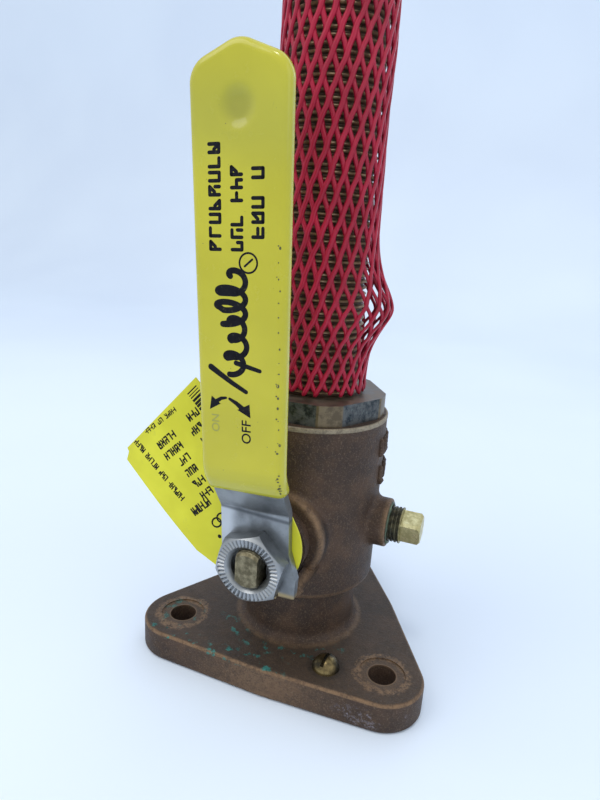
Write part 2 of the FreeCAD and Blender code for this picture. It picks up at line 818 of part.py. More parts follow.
def id_tag():
    """A thin card on the stem behind the lever; u runs along it, away from its round end."""
    shoulder = tag_shoulder_half_w
    far = tag_far_half_w
    side = tag_side_shift
    end_r = tag_end_r
    wrap = math.radians(tag_end_wrap_deg)
    joint_u = tag_end_shift - end_r * math.cos(wrap)
    joint_w = end_r * math.sin(wrap)

    def place(u, w):
        along = math.radians(tag_deg)
        x = u * math.cos(along) + w * math.sin(along)
        z = u * math.sin(along) - w * math.cos(along)
        return point(x, -(lever_back_y - soft_gap), stem_z + z)

    low = [(joint_u, side - joint_w), (tag_shoulder_u, side - shoulder),
           (tag_far_u - tag_notch_run, side - far),
           (tag_far_u - tag_notch_run + tag_notch, side - far + tag_notch_run),
           (tag_far_u, side - far + tag_notch_run + soft_gap)]
    high = [(tag_far_u, side + far), (tag_shoulder_u, side + shoulder),
            (joint_u, side + joint_w)]
    spots = [place(u, w) for u, w in low + high]
    edges = []
    for first, second in zip(spots, spots[1:]):
        edges.append(Part.makeLine(first, second))
    tip = place(tag_end_shift - end_r, side)
    edges.append(Part.Arc(spots[-1], tip, spots[0]).toShape())
    card = Part.Face(Part.Wire(edges)).extrude(point(0, tag_t, 0))
    return card.cut(stem_round(tag_hole_r, 0, stem_end_y))


# ---- drain plug and bonding screw ------------------------------------------------------

def drain_plug():
    back = drain_boss_x - plug_in
    front = drain_boss_x + plug_out
    bar = drain_cone(plug_radius(back), plug_radius(front), back, front)
    grooves = []
    for groove in thread_grooves(plug_radius(front), plug_groove, plug_pitch,
                                 drain_boss_x + end_gap, front):
        grooves.append(onto_drain(groove))
    bar = bar.cut(grooves)
    half = plug_across / 2
    corners = [(-half, -half, 0), (half, -half, 0), (half, half, 0), (-half, half, 0)]
    wire = rounded_loop(corners, lambda x, y: point(x, y, front - end_gap))
    square = Part.Face(wire).extrude(point(0, 0, plug_head + end_gap))
    crown = upright(plug_crown_r, front - overcut, front + plug_head)
    top_rim = [edge for edge in crown.Edges
               if abs(edge.BoundBox.ZMin - front - plug_head) < 1e-4]
    square = square.common(crown.makeChamfer(plug_edge, top_rim))
    square.rotate(point(0, 0, 0), UP, plug_face_deg)
    return bar.fuse(onto_drain(square)).removeSplitter()


def bonding_screw():
    shank = Part.makeCylinder(screw_shank_r, screw_length,
                              point(screw_x, screw_y, flange_t - screw_length), UP)
    dome_r = (screw_head_r ** 2 + screw_head_h ** 2) / (2 * screw_head_h)
    centre = point(screw_x, screw_y, flange_t + screw_head_h - dome_r)
    head = Part.makeSphere(dome_r, centre)
    head = head.common(Part.makeCylinder(screw_head_r, screw_head_h + 1,
                                         point(screw_x, screw_y, flange_t), UP))
    slot = Part.makeBox(4 * screw_head_r, screw_slot_w, screw_slot_depth + 1,
                        point(-2 * screw_head_r, -screw_slot_w / 2, 0))
    slot.rotate(point(0, 0, 0), UP, screw_slot_deg)
    slot.translate(point(screw_x, screw_y, flange_t + screw_head_h - screw_slot_depth))
    return shank.fuse(head).cut(slot).removeSplitter()


# ---- tail pipe and its netting ---------------------------------------------------------

def threaded_pipe():
    foot = retainer_z - pipe_engaged
    bar = threaded_bar(pipe_r, pipe_r - pipe_thread_depth, pipe_pitch, foot, pipe_top_z,
                       pipe_bore_r)
    chamfer = turned([
        (0, foot, 0),
        (pipe_r - pipe_end_chamfer, foot, 0),
        (pipe_r + 0.5, foot + pipe_end_chamfer + 0.5, 0),
        (pipe_r + 0.5, pipe_top_z - pipe_end_chamfer - 0.5, 0),
        (pipe_r - pipe_end_chamfer, pipe_top_z, 0),
        (0, pipe_top_z, 0),
    ])
    return bar.common(chamfer)


def netting_sleeve():
    """The loose tubular net, as a closed tube with its slack fold to one side."""
    inner = pipe_r + soft_gap
    outer = inner + net_t
    lean_x, lean_y = on_circle(net_bulge_shift, net_bulge_deg)
    rings = []
    for height, moved, swell in (
            (net_low_z, 0, 0),
            (net_bulge_z - net_bulge_half, 0, 0),
            (net_bulge_z, 1, net_bulge_swell),
            (net_bulge_z + net_bulge_half, 0, 0),
            (net_top_z, 0, net_top_flare)):
        centre = point(lean_x * moved, lean_y * moved, height)
        rings.append(Part.Wire(Part.makeCircle(outer + swell, centre, UP)))
    skin = Part.makeLoft(rings, True, True)
    return skin.cut(upright(inner, net_low_z - 1, net_top_z + 1))


# ---- write one file per piece ----------------------------------------------------------

PIECES = {
    "seacock_body": seacock_body,
    "retainer": retainer,
    "retainer_seal": retainer_seal,
    "lower_seat": lambda: seat(-1),
    "upper_seat": lambda: seat(1),
    "ball": ball,
    "stem": stem,
    "stem_thrust_washer": stem_thrust_washer,
    "stem_packing": stem_packing,
    "gland_follower": gland_follower,
    "gland_nut": gland_nut,
    "id_tag": id_tag,
    "lever": lever,
    "lever_grip": lever_grip,
    "handle_nut": handle_nut,
    "drain_plug": drain_plug,
    "bonding_screw": bonding_screw,
    "threaded_pipe": threaded_pipe,
    "netting_sleeve": netting_sleeve,
}

os.makedirs("parts", exist_ok=True)
for node, build in PIECES.items():
    build().exportStep(f"parts/{node}.step")
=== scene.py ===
import json
import math
import random

import bmesh
import bpy
from mathutils import Matrix, Vector, noise


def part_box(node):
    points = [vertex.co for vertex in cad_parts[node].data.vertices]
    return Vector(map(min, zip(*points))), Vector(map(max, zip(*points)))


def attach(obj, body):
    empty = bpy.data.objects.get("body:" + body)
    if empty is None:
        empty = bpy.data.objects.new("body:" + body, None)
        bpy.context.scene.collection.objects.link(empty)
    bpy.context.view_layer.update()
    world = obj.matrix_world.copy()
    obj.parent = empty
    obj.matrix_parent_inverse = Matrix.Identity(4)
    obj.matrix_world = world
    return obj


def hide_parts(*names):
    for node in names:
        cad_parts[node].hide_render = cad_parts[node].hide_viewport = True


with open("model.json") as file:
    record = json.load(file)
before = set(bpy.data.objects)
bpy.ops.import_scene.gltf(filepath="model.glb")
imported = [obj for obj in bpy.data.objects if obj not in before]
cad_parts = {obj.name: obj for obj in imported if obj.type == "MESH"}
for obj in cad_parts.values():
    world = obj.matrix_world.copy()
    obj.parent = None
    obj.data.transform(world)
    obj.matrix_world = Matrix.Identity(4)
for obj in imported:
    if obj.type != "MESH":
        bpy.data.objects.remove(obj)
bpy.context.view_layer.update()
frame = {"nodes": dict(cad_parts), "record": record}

# Looks for the seacock valve. Lengths named here are millimetres in the CAD frame:
# +Z runs along the waterway, the stem and lever stand on -Y, the drain plug on +X.
# The floor and the lights alone are placed in metres.

MM = 0.001
STEM_Z = frame["record"]["behaviour"]["joints"][0]["pos_m"][2] / MM
LEAN = math.radians(-2.6)  # the lever's lean about the stem's axis
GRIP_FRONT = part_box("lever_grip")[0].y / MM
TAG_MID = (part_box("id_tag")[0].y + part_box("id_tag")[1].y) / 2 / MM
NUT_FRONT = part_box("handle_nut")[0].y / MM
PLATE_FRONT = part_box("handle_nut")[1].y / MM  # the nut bears on the lever's plate here
NET_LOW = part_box("netting_sleeve")[0].z / MM
NET_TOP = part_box("netting_sleeve")[1].z / MM
SCREW_AT = [sum(corner[k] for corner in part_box("bonding_screw")) / 2 / MM for k in (0, 1)]
PLUG_SQUARE_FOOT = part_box("drain_plug")[1].x / MM - 7.6
LUG_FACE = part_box("seacock_body")[0].y / MM
BARREL_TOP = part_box("seacock_body")[1].z / MM
BARREL_FOOT = 35.0
BARREL_R = 29.0  # it tapers a little; this is about half way up
NECK_FOOT_R = 26.7  # where the neck's fillet meets the flange
BOSS_R = 17.7  # the stem's boss
BOSS_FACE = -31.0
DRAIN_BOSS_R = 9.5
FLANGE_T = 12.3
BOLTS = frame["record"]["mounts"][0]["dims"]
BOLT_CIRCLE_R = BOLTS["pcd_mm"] / 2
BOLT_HOLE_R = BOLTS["hole_r_mm"]
BOLT_ANGLES = (-30.0, 90.0, 210.0)
DIMPLE_V = 199.0  # the grip's dimple, above the underside, before the lean


# ---- materials ----

def rgb(red, green, blue):
    return (red, green, blue, 1.0)


class Look:
    """A Principled material, with short ways to add patterns to it in millimetres."""

    def __init__(self, name, colour, roughness, metallic=0.0, coat=0.0, coat_roughness=0.1,
                 specular=0.5):
        self.material = bpy.data.materials.new(name)
        self.material.use_nodes = True
        self.tree = self.material.node_tree
        self.shader = self.tree.nodes["Principled BSDF"]
        self.set("Base Color", colour)
        self.set("Roughness", roughness)
        self.set("Metallic", metallic)
        self.set("Coat Weight", coat)
        self.set("Coat Roughness", coat_roughness)
        self.set("Specular IOR Level", specular)
        coords = self.node("ShaderNodeTexCoord")
        scaled = self.node("ShaderNodeVectorMath")
        scaled.operation = "SCALE"
        self.put(scaled.inputs[0], coords.outputs["Object"])
        scaled.inputs["Scale"].default_value = 1 / MM
        self.place = scaled.outputs[0]
        parts = self.node("ShaderNodeSeparateXYZ")
        self.put(parts.inputs[0], self.place)
        self.x, self.y, self.z = parts.outputs
        facing = self.node("ShaderNodeSeparateXYZ")
        self.put(facing.inputs[0], coords.outputs["Normal"])
        self.nx, self.ny, self.nz = facing.outputs

    def node(self, kind):
        return self.tree.nodes.new(kind)

    def put(self, socket, value):
        if isinstance(value, bpy.types.NodeSocket):
            self.tree.links.new(value, socket)
        elif value is not None:
            socket.default_value = value

    def set(self, name, value):
        self.put(self.shader.inputs[name], value)

    def math(self, operation, first, second=None):
        node = self.node("ShaderNodeMath")
        node.operation = operation
        self.put(node.inputs[0], first)
        self.put(node.inputs[1], second)
        return node.outputs[0]

    def fold(self, operation, values):
        result = values[0]
        for value in values[1:]:
            result = self.math(operation, result, value)
        return result

    def times(self, *values):
        return self.fold("MULTIPLY", values)

    def either(self, *values):
        return self.fold("MAXIMUM", values)

    def rise(self, value, low, high):
        """0 below low and 1 above high, or the other way round where high is under low."""
        node = self.node("ShaderNodeMapRange")
        node.interpolation_type = "SMOOTHSTEP"
        self.put(node.inputs["Value"], value)
        node.inputs["From Min"].default_value = low
        node.inputs["From Max"].default_value = high
        return node.outputs[0]

    def between(self, value, low, high, edge):
        return self.times(self.rise(value, low - edge, low + edge),
                          self.rise(value, high + edge, high - edge))

    def mix(self, share, first, second, blend="MIX"):
        node = self.node("ShaderNodeMix")
        node.data_type = "RGBA"
        node.blend_type = blend
        self.put(node.inputs[0], share)
        self.put(node.inputs[6], first)
        self.put(node.inputs[7], second)
        return node.outputs[2]

    def blend(self, share, first, second):
        """Two numbers mixed by share."""
        node = self.node("ShaderNodeMix")
        self.put(node.inputs[0], share)
        self.put(node.inputs[2], first)
        self.put(node.inputs[3], second)
        return node.outputs[0]

    def grain(self, size, detail=4.0, rough=0.5, stretch=None):
        """Noise whose lumps are about size millimetres across."""
        node = self.node("ShaderNodeTexNoise")
        place = self.place
        if stretch is not None:
            mapping = self.node("ShaderNodeVectorMath")
            mapping.operation = "MULTIPLY"
            self.put(mapping.inputs[0], place)
            mapping.inputs[1].default_value = stretch
            place = mapping.outputs[0]
        self.put(node.inputs["Vector"], place)
        node.inputs["Scale"].default_value = 1.0 / size
        node.inputs["Detail"].default_value = detail
        node.inputs["Roughness"].default_value = rough
        return node.outputs[0]

    def reach(self, first, second, at_first=0.0, at_second=0.0):
        """The distance from a point in the plane of two coordinates."""
        joined = self.node("ShaderNodeCombineXYZ")
        self.put(joined.inputs[0], self.math("SUBTRACT", first, at_first))
        self.put(joined.inputs[1], self.math("SUBTRACT", second, at_second))
        length = self.node("ShaderNodeVectorMath")
        length.operation = "LENGTH"
        self.put(length.inputs[0], joined.outputs[0])
        return length.outputs["Value"]

    def bumps(self, *layers):
        """Layers of (height, strength, depth in millimetres), one on the other."""
        normal = None
        for height, strength, depth in layers:
            node = self.node("ShaderNodeBump")
            node.inputs["Strength"].default_value = strength
            node.inputs["Distance"].default_value = depth * MM
            self.put(node.inputs["Height"], height)
            self.put(node.inputs["Normal"], normal)
            normal = node.outputs[0]
        self.set("Normal", normal)


def bolt_place(angle):
    """A bolt hole's centre, as x and y."""
    turn = math.radians(angle)
    return BOLT_CIRCLE_R * math.cos(turn), BOLT_CIRCLE_R * math.sin(turn)


def cast_edges(look, from_axis):
    """Edges worn bright: flange, both bosses, barrel's foot and stop lugs; on the neck's foot
    fillet the bright band is a painted highlight.
    """
    from_stem = look.reach(look.x, look.z, 0.0, STEM_Z)
    from_plug = look.reach(look.y, look.z, 0.0, STEM_Z)
    rim = look.times(look.between(look.z, FLANGE_T - 1.7, FLANGE_T - 0.1, 0.5),
                     look.between(look.nz, 0.2, 0.97, 0.15))
    # painted highlight: the tan band on the concave fillet at the neck's foot
    foot = look.times(look.between(from_axis, NECK_FOOT_R - 1.5, NECK_FOOT_R + 0.3, 1.3),
                      look.between(look.z, FLANGE_T - 0.2, FLANGE_T + 2.4, 0.6), 0.75)
    boss = look.times(look.between(from_stem, BOSS_R - 1.8, BOSS_R + 0.3, 1.1),
                      look.rise(look.y, BOSS_FACE + 4.5, BOSS_FACE + 1.5))
    under = look.times(look.between(look.z, BARREL_FOOT - 0.1, BARREL_FOOT + 2.4, 0.8),
                       look.rise(from_axis, BARREL_R - 4.0, BARREL_R - 1.5), 0.6)
    drain = look.times(look.between(from_plug, DRAIN_BOSS_R - 1.3, DRAIN_BOSS_R + 0.4, 0.7),
                       look.rise(look.x, 32.4, 34.4), 0.8)
    lug = look.times(look.rise(look.y, LUG_FACE + 2.0, LUG_FACE + 0.3), 0.7)
    return look.either(rim, foot, boss, under, drain, lug)


def rubbed_rings(look, patchy):
    """Rings that washers rubbed bright round the bolt holes, and the holes' lips."""
    on_top = look.between(look.z, FLANGE_T - 0.9, FLANGE_T + 0.5, 0.4)
    found = []
    for angle in BOLT_ANGLES:
        from_hole = look.reach(look.x, look.y, *bolt_place(angle))
        ragged = look.math("ADD", from_hole, look.times(look.grain(5.5, 4.0, 0.65), 7.0))
        found.append(look.times(look.between(ragged, 11.0, 14.2, 1.0), on_top,
                                look.blend(patchy, 0.05, 1.0)))
        found.append(look.times(look.between(from_hole, BOLT_HOLE_R, BOLT_HOLE_R + 0.5, 0.3),
                                on_top, 0.7))
    return look.either(*found)


def verdigris(look, from_axis):
    """Green where water stood: along the front edge, by the neck and round the -X hole."""
    spots = look.rise(look.grain(4.2, 5.0, 0.62), 0.56, 0.63)
    front = look.times(look.rise(look.y, -33.0, -37.0), look.rise(look.x, 14.0, 2.0))
    by_neck = look.times(look.between(from_axis, NECK_FOOT_R + 0.3, NECK_FOOT_R + 6.3, 1.5),
                         look.rise(look.y, -14.0, -22.0), 0.8)
    from_hole = look.reach(look.x, look.y, *bolt_place(BOLT_ANGLES[2]))
    by_hole = look.times(look.between(from_hole, 5.5, 9.0, 1.0), 0.6)
    on_flange = look.between(look.z, FLANGE_T - 1.5, FLANGE_T + 1.3, 0.6)
    return look.times(spots, look.either(front, by_neck, by_hole), on_flange)


def cast_bronze():
    """Dark sand-cast bronze: worn at its edges, green and chalky where it stood wet, with a
    painted highlight on the neck's foot fillet and painted shade round the bonding screw.
    """
    look = Look("cast_bronze", rgb(0.1, 0.07, 0.05), 0.6, 0.2, specular=0.3)
    from_axis = look.reach(look.x, look.y)
    drift = look.rise(look.grain(24.0, 3.0), 0.35, 0.68)
    colour = look.mix(drift, rgb(0.044, 0.025, 0.017), rgb(0.082, 0.046, 0.028))
    mottle = look.rise(look.grain(2.6, 6.0, 0.7), 0.45, 0.72)
    colour = look.mix(look.times(mottle, 0.45), colour, rgb(0.120, 0.072, 0.042))
    soot = look.rise(look.grain(7.5, 5.0, 0.6), 0.60, 0.42)
    colour = look.mix(look.times(soot, 0.40), colour, rgb(0.022, 0.016, 0.0145))
    # bare high points of the sand finish
    sand = look.grain(0.55, 3.0, 0.6)
    colour = look.mix(look.times(look.rise(sand, 0.52, 0.66), 0.50), colour,
                      rgb(0.172, 0.118, 0.076))
    # painted shade in a ring round the bonding screw's head, and a duller film on the flange's top
    shade_round_screw = look.times(look.rise(look.reach(look.x, look.y, *SCREW_AT), 8.2, 6.0),
                       look.rise(look.z, FLANGE_T - 1.3, FLANGE_T - 0.3), 0.75)
    colour = look.mix(shade_round_screw, colour, rgb(0.012, 0.010, 0.010))
    film = look.times(look.rise(look.nz, 0.9, 0.97),
                      look.between(look.z, FLANGE_T - 1.3, FLANGE_T + 0.7, 0.6))
    colour = look.mix(look.times(film, 0.55), colour, rgb(0.036, 0.031, 0.026))
    ragged = look.blend(0.45, look.grain(2.8, 4.0, 0.6), look.grain(0.7, 4.0, 0.65))
    patchy = look.rise(ragged, 0.36, 0.60)
    # worn carries real edge wear and rubbed rings, and also the painted highlight at the neck's
    # foot
    worn = look.either(look.times(cast_edges(look, from_axis), look.blend(patchy, 0.30, 1.0)),
                       rubbed_rings(look, patchy))
    colour = look.mix(look.times(worn, 0.80), colour, rgb(0.270, 0.165, 0.092))
    crown = look.times(look.rise(look.z, BARREL_TOP - 1.9, BARREL_TOP - 1.5),
                       look.rise(from_axis, BARREL_R - 0.6, BARREL_R - 0.1),
                       look.blend(patchy, 0.45, 1.0))
    colour = look.mix(look.times(crown, 0.85), colour, rgb(0.40, 0.335, 0.235))
    colour = look.mix(verdigris(look, from_axis), colour,
                      look.mix(patchy, rgb(0.012, 0.060, 0.052), rgb(0.050, 0.220, 0.190)))
    chalk = look.times(look.rise(look.grain(1.0, 4.0, 0.7), 0.48, 0.66),
                       look.rise(look.grain(6.0, 2.0), 0.50, 0.60),
                       look.rise(look.x, 26.0, 36.0), look.rise(look.y, -30.0, -35.0),
                       look.between(look.z, 1.5, 8.0, 2.0), 0.75)
    colour = look.mix(chalk, colour, rgb(0.24, 0.22, 0.25))
    look.set("Base Color", colour)
    look.set("Metallic", look.blend(look.either(worn, crown), 0.12, 0.5))
    look.set("Roughness", look.blend(worn, look.blend(mottle, 0.54, 0.68), 0.46))
    look.bumps((look.grain(6.0, 3.0), 0.30, 0.55), (look.grain(1.3, 4.0, 0.6), 0.60, 0.30),
               (sand, 0.80, 0.22))
    return look.material


def retainer_bronze():
    look = Look("retainer_bronze", rgb(0.3, 0.26, 0.2), 0.4, 0.7, specular=0.4)
    blotch = look.grain(3.4, 6.0, 0.65)
    flats = look.mix(look.rise(blotch, 0.38, 0.62), rgb(0.020, 0.026, 0.032),
                     rgb(0.120, 0.124, 0.122))
    flats = look.mix(look.times(look.rise(look.grain(1.1, 4.0, 0.7), 0.52, 0.70), 0.55), flats,
                     rgb(0.160, 0.190, 0.175))
    from_axis = look.reach(look.x, look.y)
    land = look.times(look.rise(from_axis, 27.25, 27.5), look.rise(look.nz, 0.6, 0.3))
    gold = look.mix(look.rise(blotch, 0.4, 0.6), rgb(0.105, 0.078, 0.048),
                    rgb(0.190, 0.145, 0.088))
    top = look.rise(look.nz, 0.6, 0.9)
    crown = look.mix(look.rise(blotch, 0.42, 0.6), rgb(0.120, 0.092, 0.068),
                     rgb(0.210, 0.165, 0.125))
    colour = look.mix(land, flats, gold)
    colour = look.mix(top, colour, crown)
    look.set("Base Color", colour)
    look.set("Roughness", look.blend(look.rise(blotch, 0.4, 0.6), 0.34, 0.52))
    scratch = look.grain(0.5, 3.0, 0.6, (1.0, 1.0, 0.12))
    look.bumps((blotch, 0.25, 0.12), (scratch, 0.30, 0.05))
    return look.material


def pipe_bronze():
    look = Look("pipe_bronze", rgb(0.4, 0.27, 0.15), 0.38, 0.75)
    from_axis = look.reach(look.x, look.y)
    crest = look.rise(from_axis, 15.7, 16.5)
    stain = look.rise(look.grain(4.0, 5.0, 0.6), 0.36, 0.66)
    metal = look.mix(stain, rgb(0.30, 0.20, 0.12), rgb(0.56, 0.39, 0.23))
    look.set("Base Color", look.mix(crest, rgb(0.130, 0.085, 0.058), metal))
    look.set("Roughness", look.blend(stain, 0.5, 0.3))
    look.bumps((look.grain(0.7, 4.0), 0.25, 0.05))
    return look.material


def machined_metal(name, dark, light, roughness, metallic=0.9, spot=3.0):
    """Turned or plated metal with tarnish that comes and goes."""
    look = Look(name, light, roughness, metallic)
    tarnish = look.rise(look.grain(spot, 5.0, 0.62), 0.36, 0.66)
    fine = look.rise(look.grain(0.6, 4.0, 0.7), 0.5, 0.75)
    colour = look.mix(tarnish, dark, light)
    look.set("Base Color", look.mix(look.times(fine, 0.3), colour, dark))
    look.set("Roughness", look.blend(tarnish, roughness + 0.14, roughness - 0.05))
    look.bumps((look.grain(2.2, 4.0), 0.12, 0.10), (look.grain(0.35, 3.0, 0.6), 0.22, 0.03))
    return look.material


def grip_vinyl():
    look = Look("grip_vinyl", rgb(0.6, 0.57, 0.09), 0.3, coat=0.55, coat_roughness=0.07,
                specular=0.25)
    drift = look.rise(look.grain(30.0, 3.0), 0.35, 0.7)
    colour = look.mix(drift, rgb(0.480, 0.430, 0.020), rgb(0.540, 0.485, 0.024))
    grime = look.rise(look.grain(5.0, 6.0, 0.65), 0.60, 0.78)
    colour = look.mix(look.times(grime, 0.22), colour, rgb(0.31, 0.30, 0.04))
    # greyer round the dimple and stained at the foot
    upper = look.times(look.between(look.z, 186.0, 206.0, 9.0), 0.30)
    colour = look.mix(upper, colour, rgb(0.300, 0.310, 0.060))
    low_stain = look.times(look.rise(look.z, 100.0, 87.0), 0.25)
    colour = look.mix(low_stain, colour, rgb(0.34, 0.35, 0.04))
    up = DIMPLE_V - STEM_Z
    pit = look.rise(look.reach(look.x, look.z, up * math.sin(LEAN),
                               STEM_Z + up * math.cos(LEAN)), 6.0, 1.5)
    colour = look.mix(look.times(pit, 0.45), colour, rgb(0.22, 0.21, 0.035))
    scrape = look.rise(look.grain(0.9, 4.0, 0.6, (1.0, 1.0, 0.25)), 0.70, 0.80)
    colour = look.mix(look.times(scrape, 0.30), colour, rgb(0.24, 0.22, 0.04))
    look.set("Base Color", colour)
    look.set("Roughness", look.blend(grime, 0.27, 0.42))
    look.bumps((look.grain(14.0, 2.0), 0.35, 0.35), (look.grain(1.4, 3.0), 0.08, 0.05))
    return look.material


def tag_stock():
    look = Look("tag_card", rgb(0.75, 0.74, 0.07), 0.42, specular=0.25)
    drift = look.rise(look.grain(16.0, 3.0), 0.35, 0.7)
    colour = look.mix(drift, rgb(0.62, 0.585, 0.030), rgb(0.71, 0.675, 0.040))
    smudge = look.rise(look.grain(4.5, 6.0, 0.7), 0.60, 0.76)
    colour = look.mix(look.times(smudge, 0.35), colour, rgb(0.42, 0.42, 0.07))
    look.set("Base Color", colour)
    look.set("Roughness", look.blend(smudge, 0.38, 0.55))
    look.bumps((look.grain(9.0, 2.0), 0.3, 0.25), (look.grain(0.5, 3.0), 0.12, 0.02))
    return look.material


def net_plastic():
    look = Look("net_plastic", rgb(0.55, 0.02, 0.06), 0.34, specular=0.35)
    drift = look.rise(look.grain(12.0, 3.0), 0.35, 0.68)
    colour = look.mix(drift, rgb(0.300, 0.0045, 0.026), rgb(0.400, 0.0070, 0.036))
    dust = look.rise(look.grain(2.2, 5.0, 0.65), 0.58, 0.76)
    look.set("Base Color", look.mix(look.times(dust, 0.20), colour, rgb(0.42, 0.030, 0.070)))
    look.set("Roughness", look.blend(dust, 0.30, 0.46))
    look.bumps((look.grain(0.9, 3.0), 0.15, 0.08))
    return look.material


def fitting_brass():
    """Bright on the plug's square; dark down its thread, which is painted shade."""
    look = Look("fitting_brass", rgb(0.7, 0.6, 0.36), 0.3, 0.85)
    tarnish = look.rise(look.grain(2.6, 5.0, 0.62), 0.36, 0.66)
    colour = look.mix(tarnish, rgb(0.46, 0.40, 0.19), rgb(0.78, 0.70, 0.38))
    # painted shade: the plug's thread darkened where shade falls in it
    thread_shade = look.rise(look.x, PLUG_SQUARE_FOOT + 0.6, PLUG_SQUARE_FOOT - 0.6)
    colour = look.mix(thread_shade, colour, look.mix(tarnish, rgb(0.035, 0.033, 0.026),
                                                rgb(0.130, 0.115, 0.068)))
    look.set("Base Color", colour)
    look.set("Roughness", look.blend(thread_shade, look.blend(tarnish, 0.42, 0.26), 0.5))
    look.bumps((look.grain(2.2, 4.0), 0.14, 0.12), (look.grain(0.35, 3.0, 0.6), 0.25, 0.04))
    return look.material


def plated_steel():
    """Zinc plate: clear and cool, with a faint drawn grain, painted shade at the ramp's foot and a
    painted tan reflection of the bronze on the lower tab.
    """
    look = Look("plated_steel", rgb(0.4, 0.44, 0.5), 0.34, 0.9)
    cloud = look.rise(look.grain(9.0, 4.0, 0.55), 0.34, 0.68)
    colour = look.mix(cloud, rgb(0.160, 0.168, 0.176), rgb(0.290, 0.305, 0.318))
    spots = look.rise(look.grain(1.2, 4.0, 0.7), 0.60, 0.74)
    colour = look.mix(look.times(spots, 0.35), colour, rgb(0.110, 0.120, 0.130))
    front = look.rise(look.y, NUT_FRONT + 1.3, NUT_FRONT + 0.4)
    colour = look.mix(look.times(front, 0.75), colour, rgb(0.37, 0.38, 0.39))
    # behind the nut: a pale side, painted shade as a dark line at the ramp's foot, and a painted
    # tan reflection of the bronze on the tab
    plate = look.rise(look.y, PLATE_FRONT - 0.5, PLATE_FRONT - 0.1)
    slanted = look.math("ADD", look.z, look.times(look.x, 0.045))
    pale = look.times(look.rise(look.x, -5.5, -10.5), look.between(slanted, 64.0, 81.0, 4.0),
                      plate, 0.8)
    colour = look.mix(pale, colour, rgb(0.60, 0.62, 0.65))
    # painted shade: a dark line where the plate bends at the ramp's foot
    crease_shade = look.times(look.between(slanted, 78.3, 79.5, 0.5), 0.7)
    colour = look.mix(crease_shade, colour, rgb(0.050, 0.055, 0.062))
    # painted reflection: the lower tab tinted tan as the bronze body's reflection
    tab = look.times(look.rise(look.z, 53.2, 51.6), look.rise(look.x, 3.0, 5.0), plate, 0.9)
    colour = look.mix(tab, colour, rgb(0.36, 0.27, 0.135))
    look.set("Base Color", colour)
    look.set("Roughness", look.blend(cloud, 0.40, 0.30))
    drawn = look.grain(0.5, 3.0, 0.6, (1.0, 1.0, 0.10))
    look.bumps((look.grain(5.0, 3.0), 0.20, 0.20), (drawn, 0.18, 0.03))
    return look.material


def plain_soft(name, low, high, roughness):
    look = Look(name, high, roughness)
    patch = look.rise(look.grain(4.0, 4.0), 0.4, 0.65)
    look.set("Base Color", look.mix(patch, low, high))
    look.bumps((look.grain(0.8, 3.0), 0.2, 0.05))
    return look.material


def ink(name, colour):
    look = Look(name, colour, 0.6, specular=0.12)
    faded = look.rise(look.grain(1.1, 5.0, 0.7), 0.56, 0.74)
    look.set("Base Color", look.mix(look.times(faded, 0.30), colour, rgb(0.16, 0.15, 0.06)))
    return look.material


SLOTS = {
    "cast_bronze": cast_bronze(),
    "retainer_bronze": retainer_bronze(),
    "pipe_bronze": pipe_bronze(),
    "ball_bronze": machined_metal("ball_bronze", rgb(0.6, 0.58, 0.54), rgb(0.78, 0.76, 0.72), 0.2),
    "stem_brass": machined_metal("stem_brass", rgb(0.120, 0.102, 0.060), rgb(0.27, 0.23, 0.145),
                                 0.40, 0.8, 2.0),
    "fitting_brass": fitting_brass(),
    "seat_plastic": plain_soft("seat_plastic", rgb(0.78, 0.77, 0.72), rgb(0.86, 0.85, 0.82), 0.5),
    "seal_rubber": plain_soft("seal_rubber", rgb(0.02, 0.02, 0.02), rgb(0.04, 0.04, 0.04), 0.6),
    "plated_steel": plated_steel(),
    "grip_vinyl": grip_vinyl(),
    "tag_card": tag_stock(),
    "net_plastic": net_plastic(),
}
tarnished_brass = machined_metal("tarnished_brass", rgb(0.034, 0.028, 0.018),
                                 rgb(0.30, 0.215, 0.090), 0.27, 0.9, 8.0)
grip_ink = ink("grip_ink", rgb(0.008, 0.008, 0.012))
tag_ink = ink("tag_ink", rgb(0.012, 0.012, 0.011))
scuff_ink = ink("scuff_ink", rgb(0.10, 0.095, 0.045))
faint_ink = ink("faint_ink", rgb(0.33, 0.32, 0.085))
sealant = plain_soft("sealant", rgb(0.035, 0.055, 0.032), rgb(0.10, 0.135, 0.075), 0.45)

for part in frame["record"]["subparts"]:
    chosen = SLOTS[part["material_slot"]]
    if part["node"] == "bonding_screw":
        chosen = tarnished_brass
    for slot in frame["nodes"][part["node"]].material_slots:
        slot.material = chosen


# ---- mesh helpers ----

def make_piece(name, points, faces, material, body, smooth=True):
    """A mesh piece from points in millimetres, riding on a body."""
    mesh = bpy.data.meshes.new(name)
    mesh.from_pydata([tuple(c * MM for c in p) for p in points], [], faces)
    mesh.materials.append(material)
    mesh.update()
    if smooth:
        mesh.polygons.foreach_set("use_smooth", [True] * len(mesh.polygons))
    piece = bpy.data.objects.new(name, mesh)
    bpy.context.scene.collection.objects.link(piece)
    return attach(piece, body)


def face_outwards(piece):
    work = bmesh.new()
    work.from_mesh(piece.data)
    bmesh.ops.recalc_face_normals(work, faces=work.faces)
    work.to_mesh(piece.data)
    work.free()


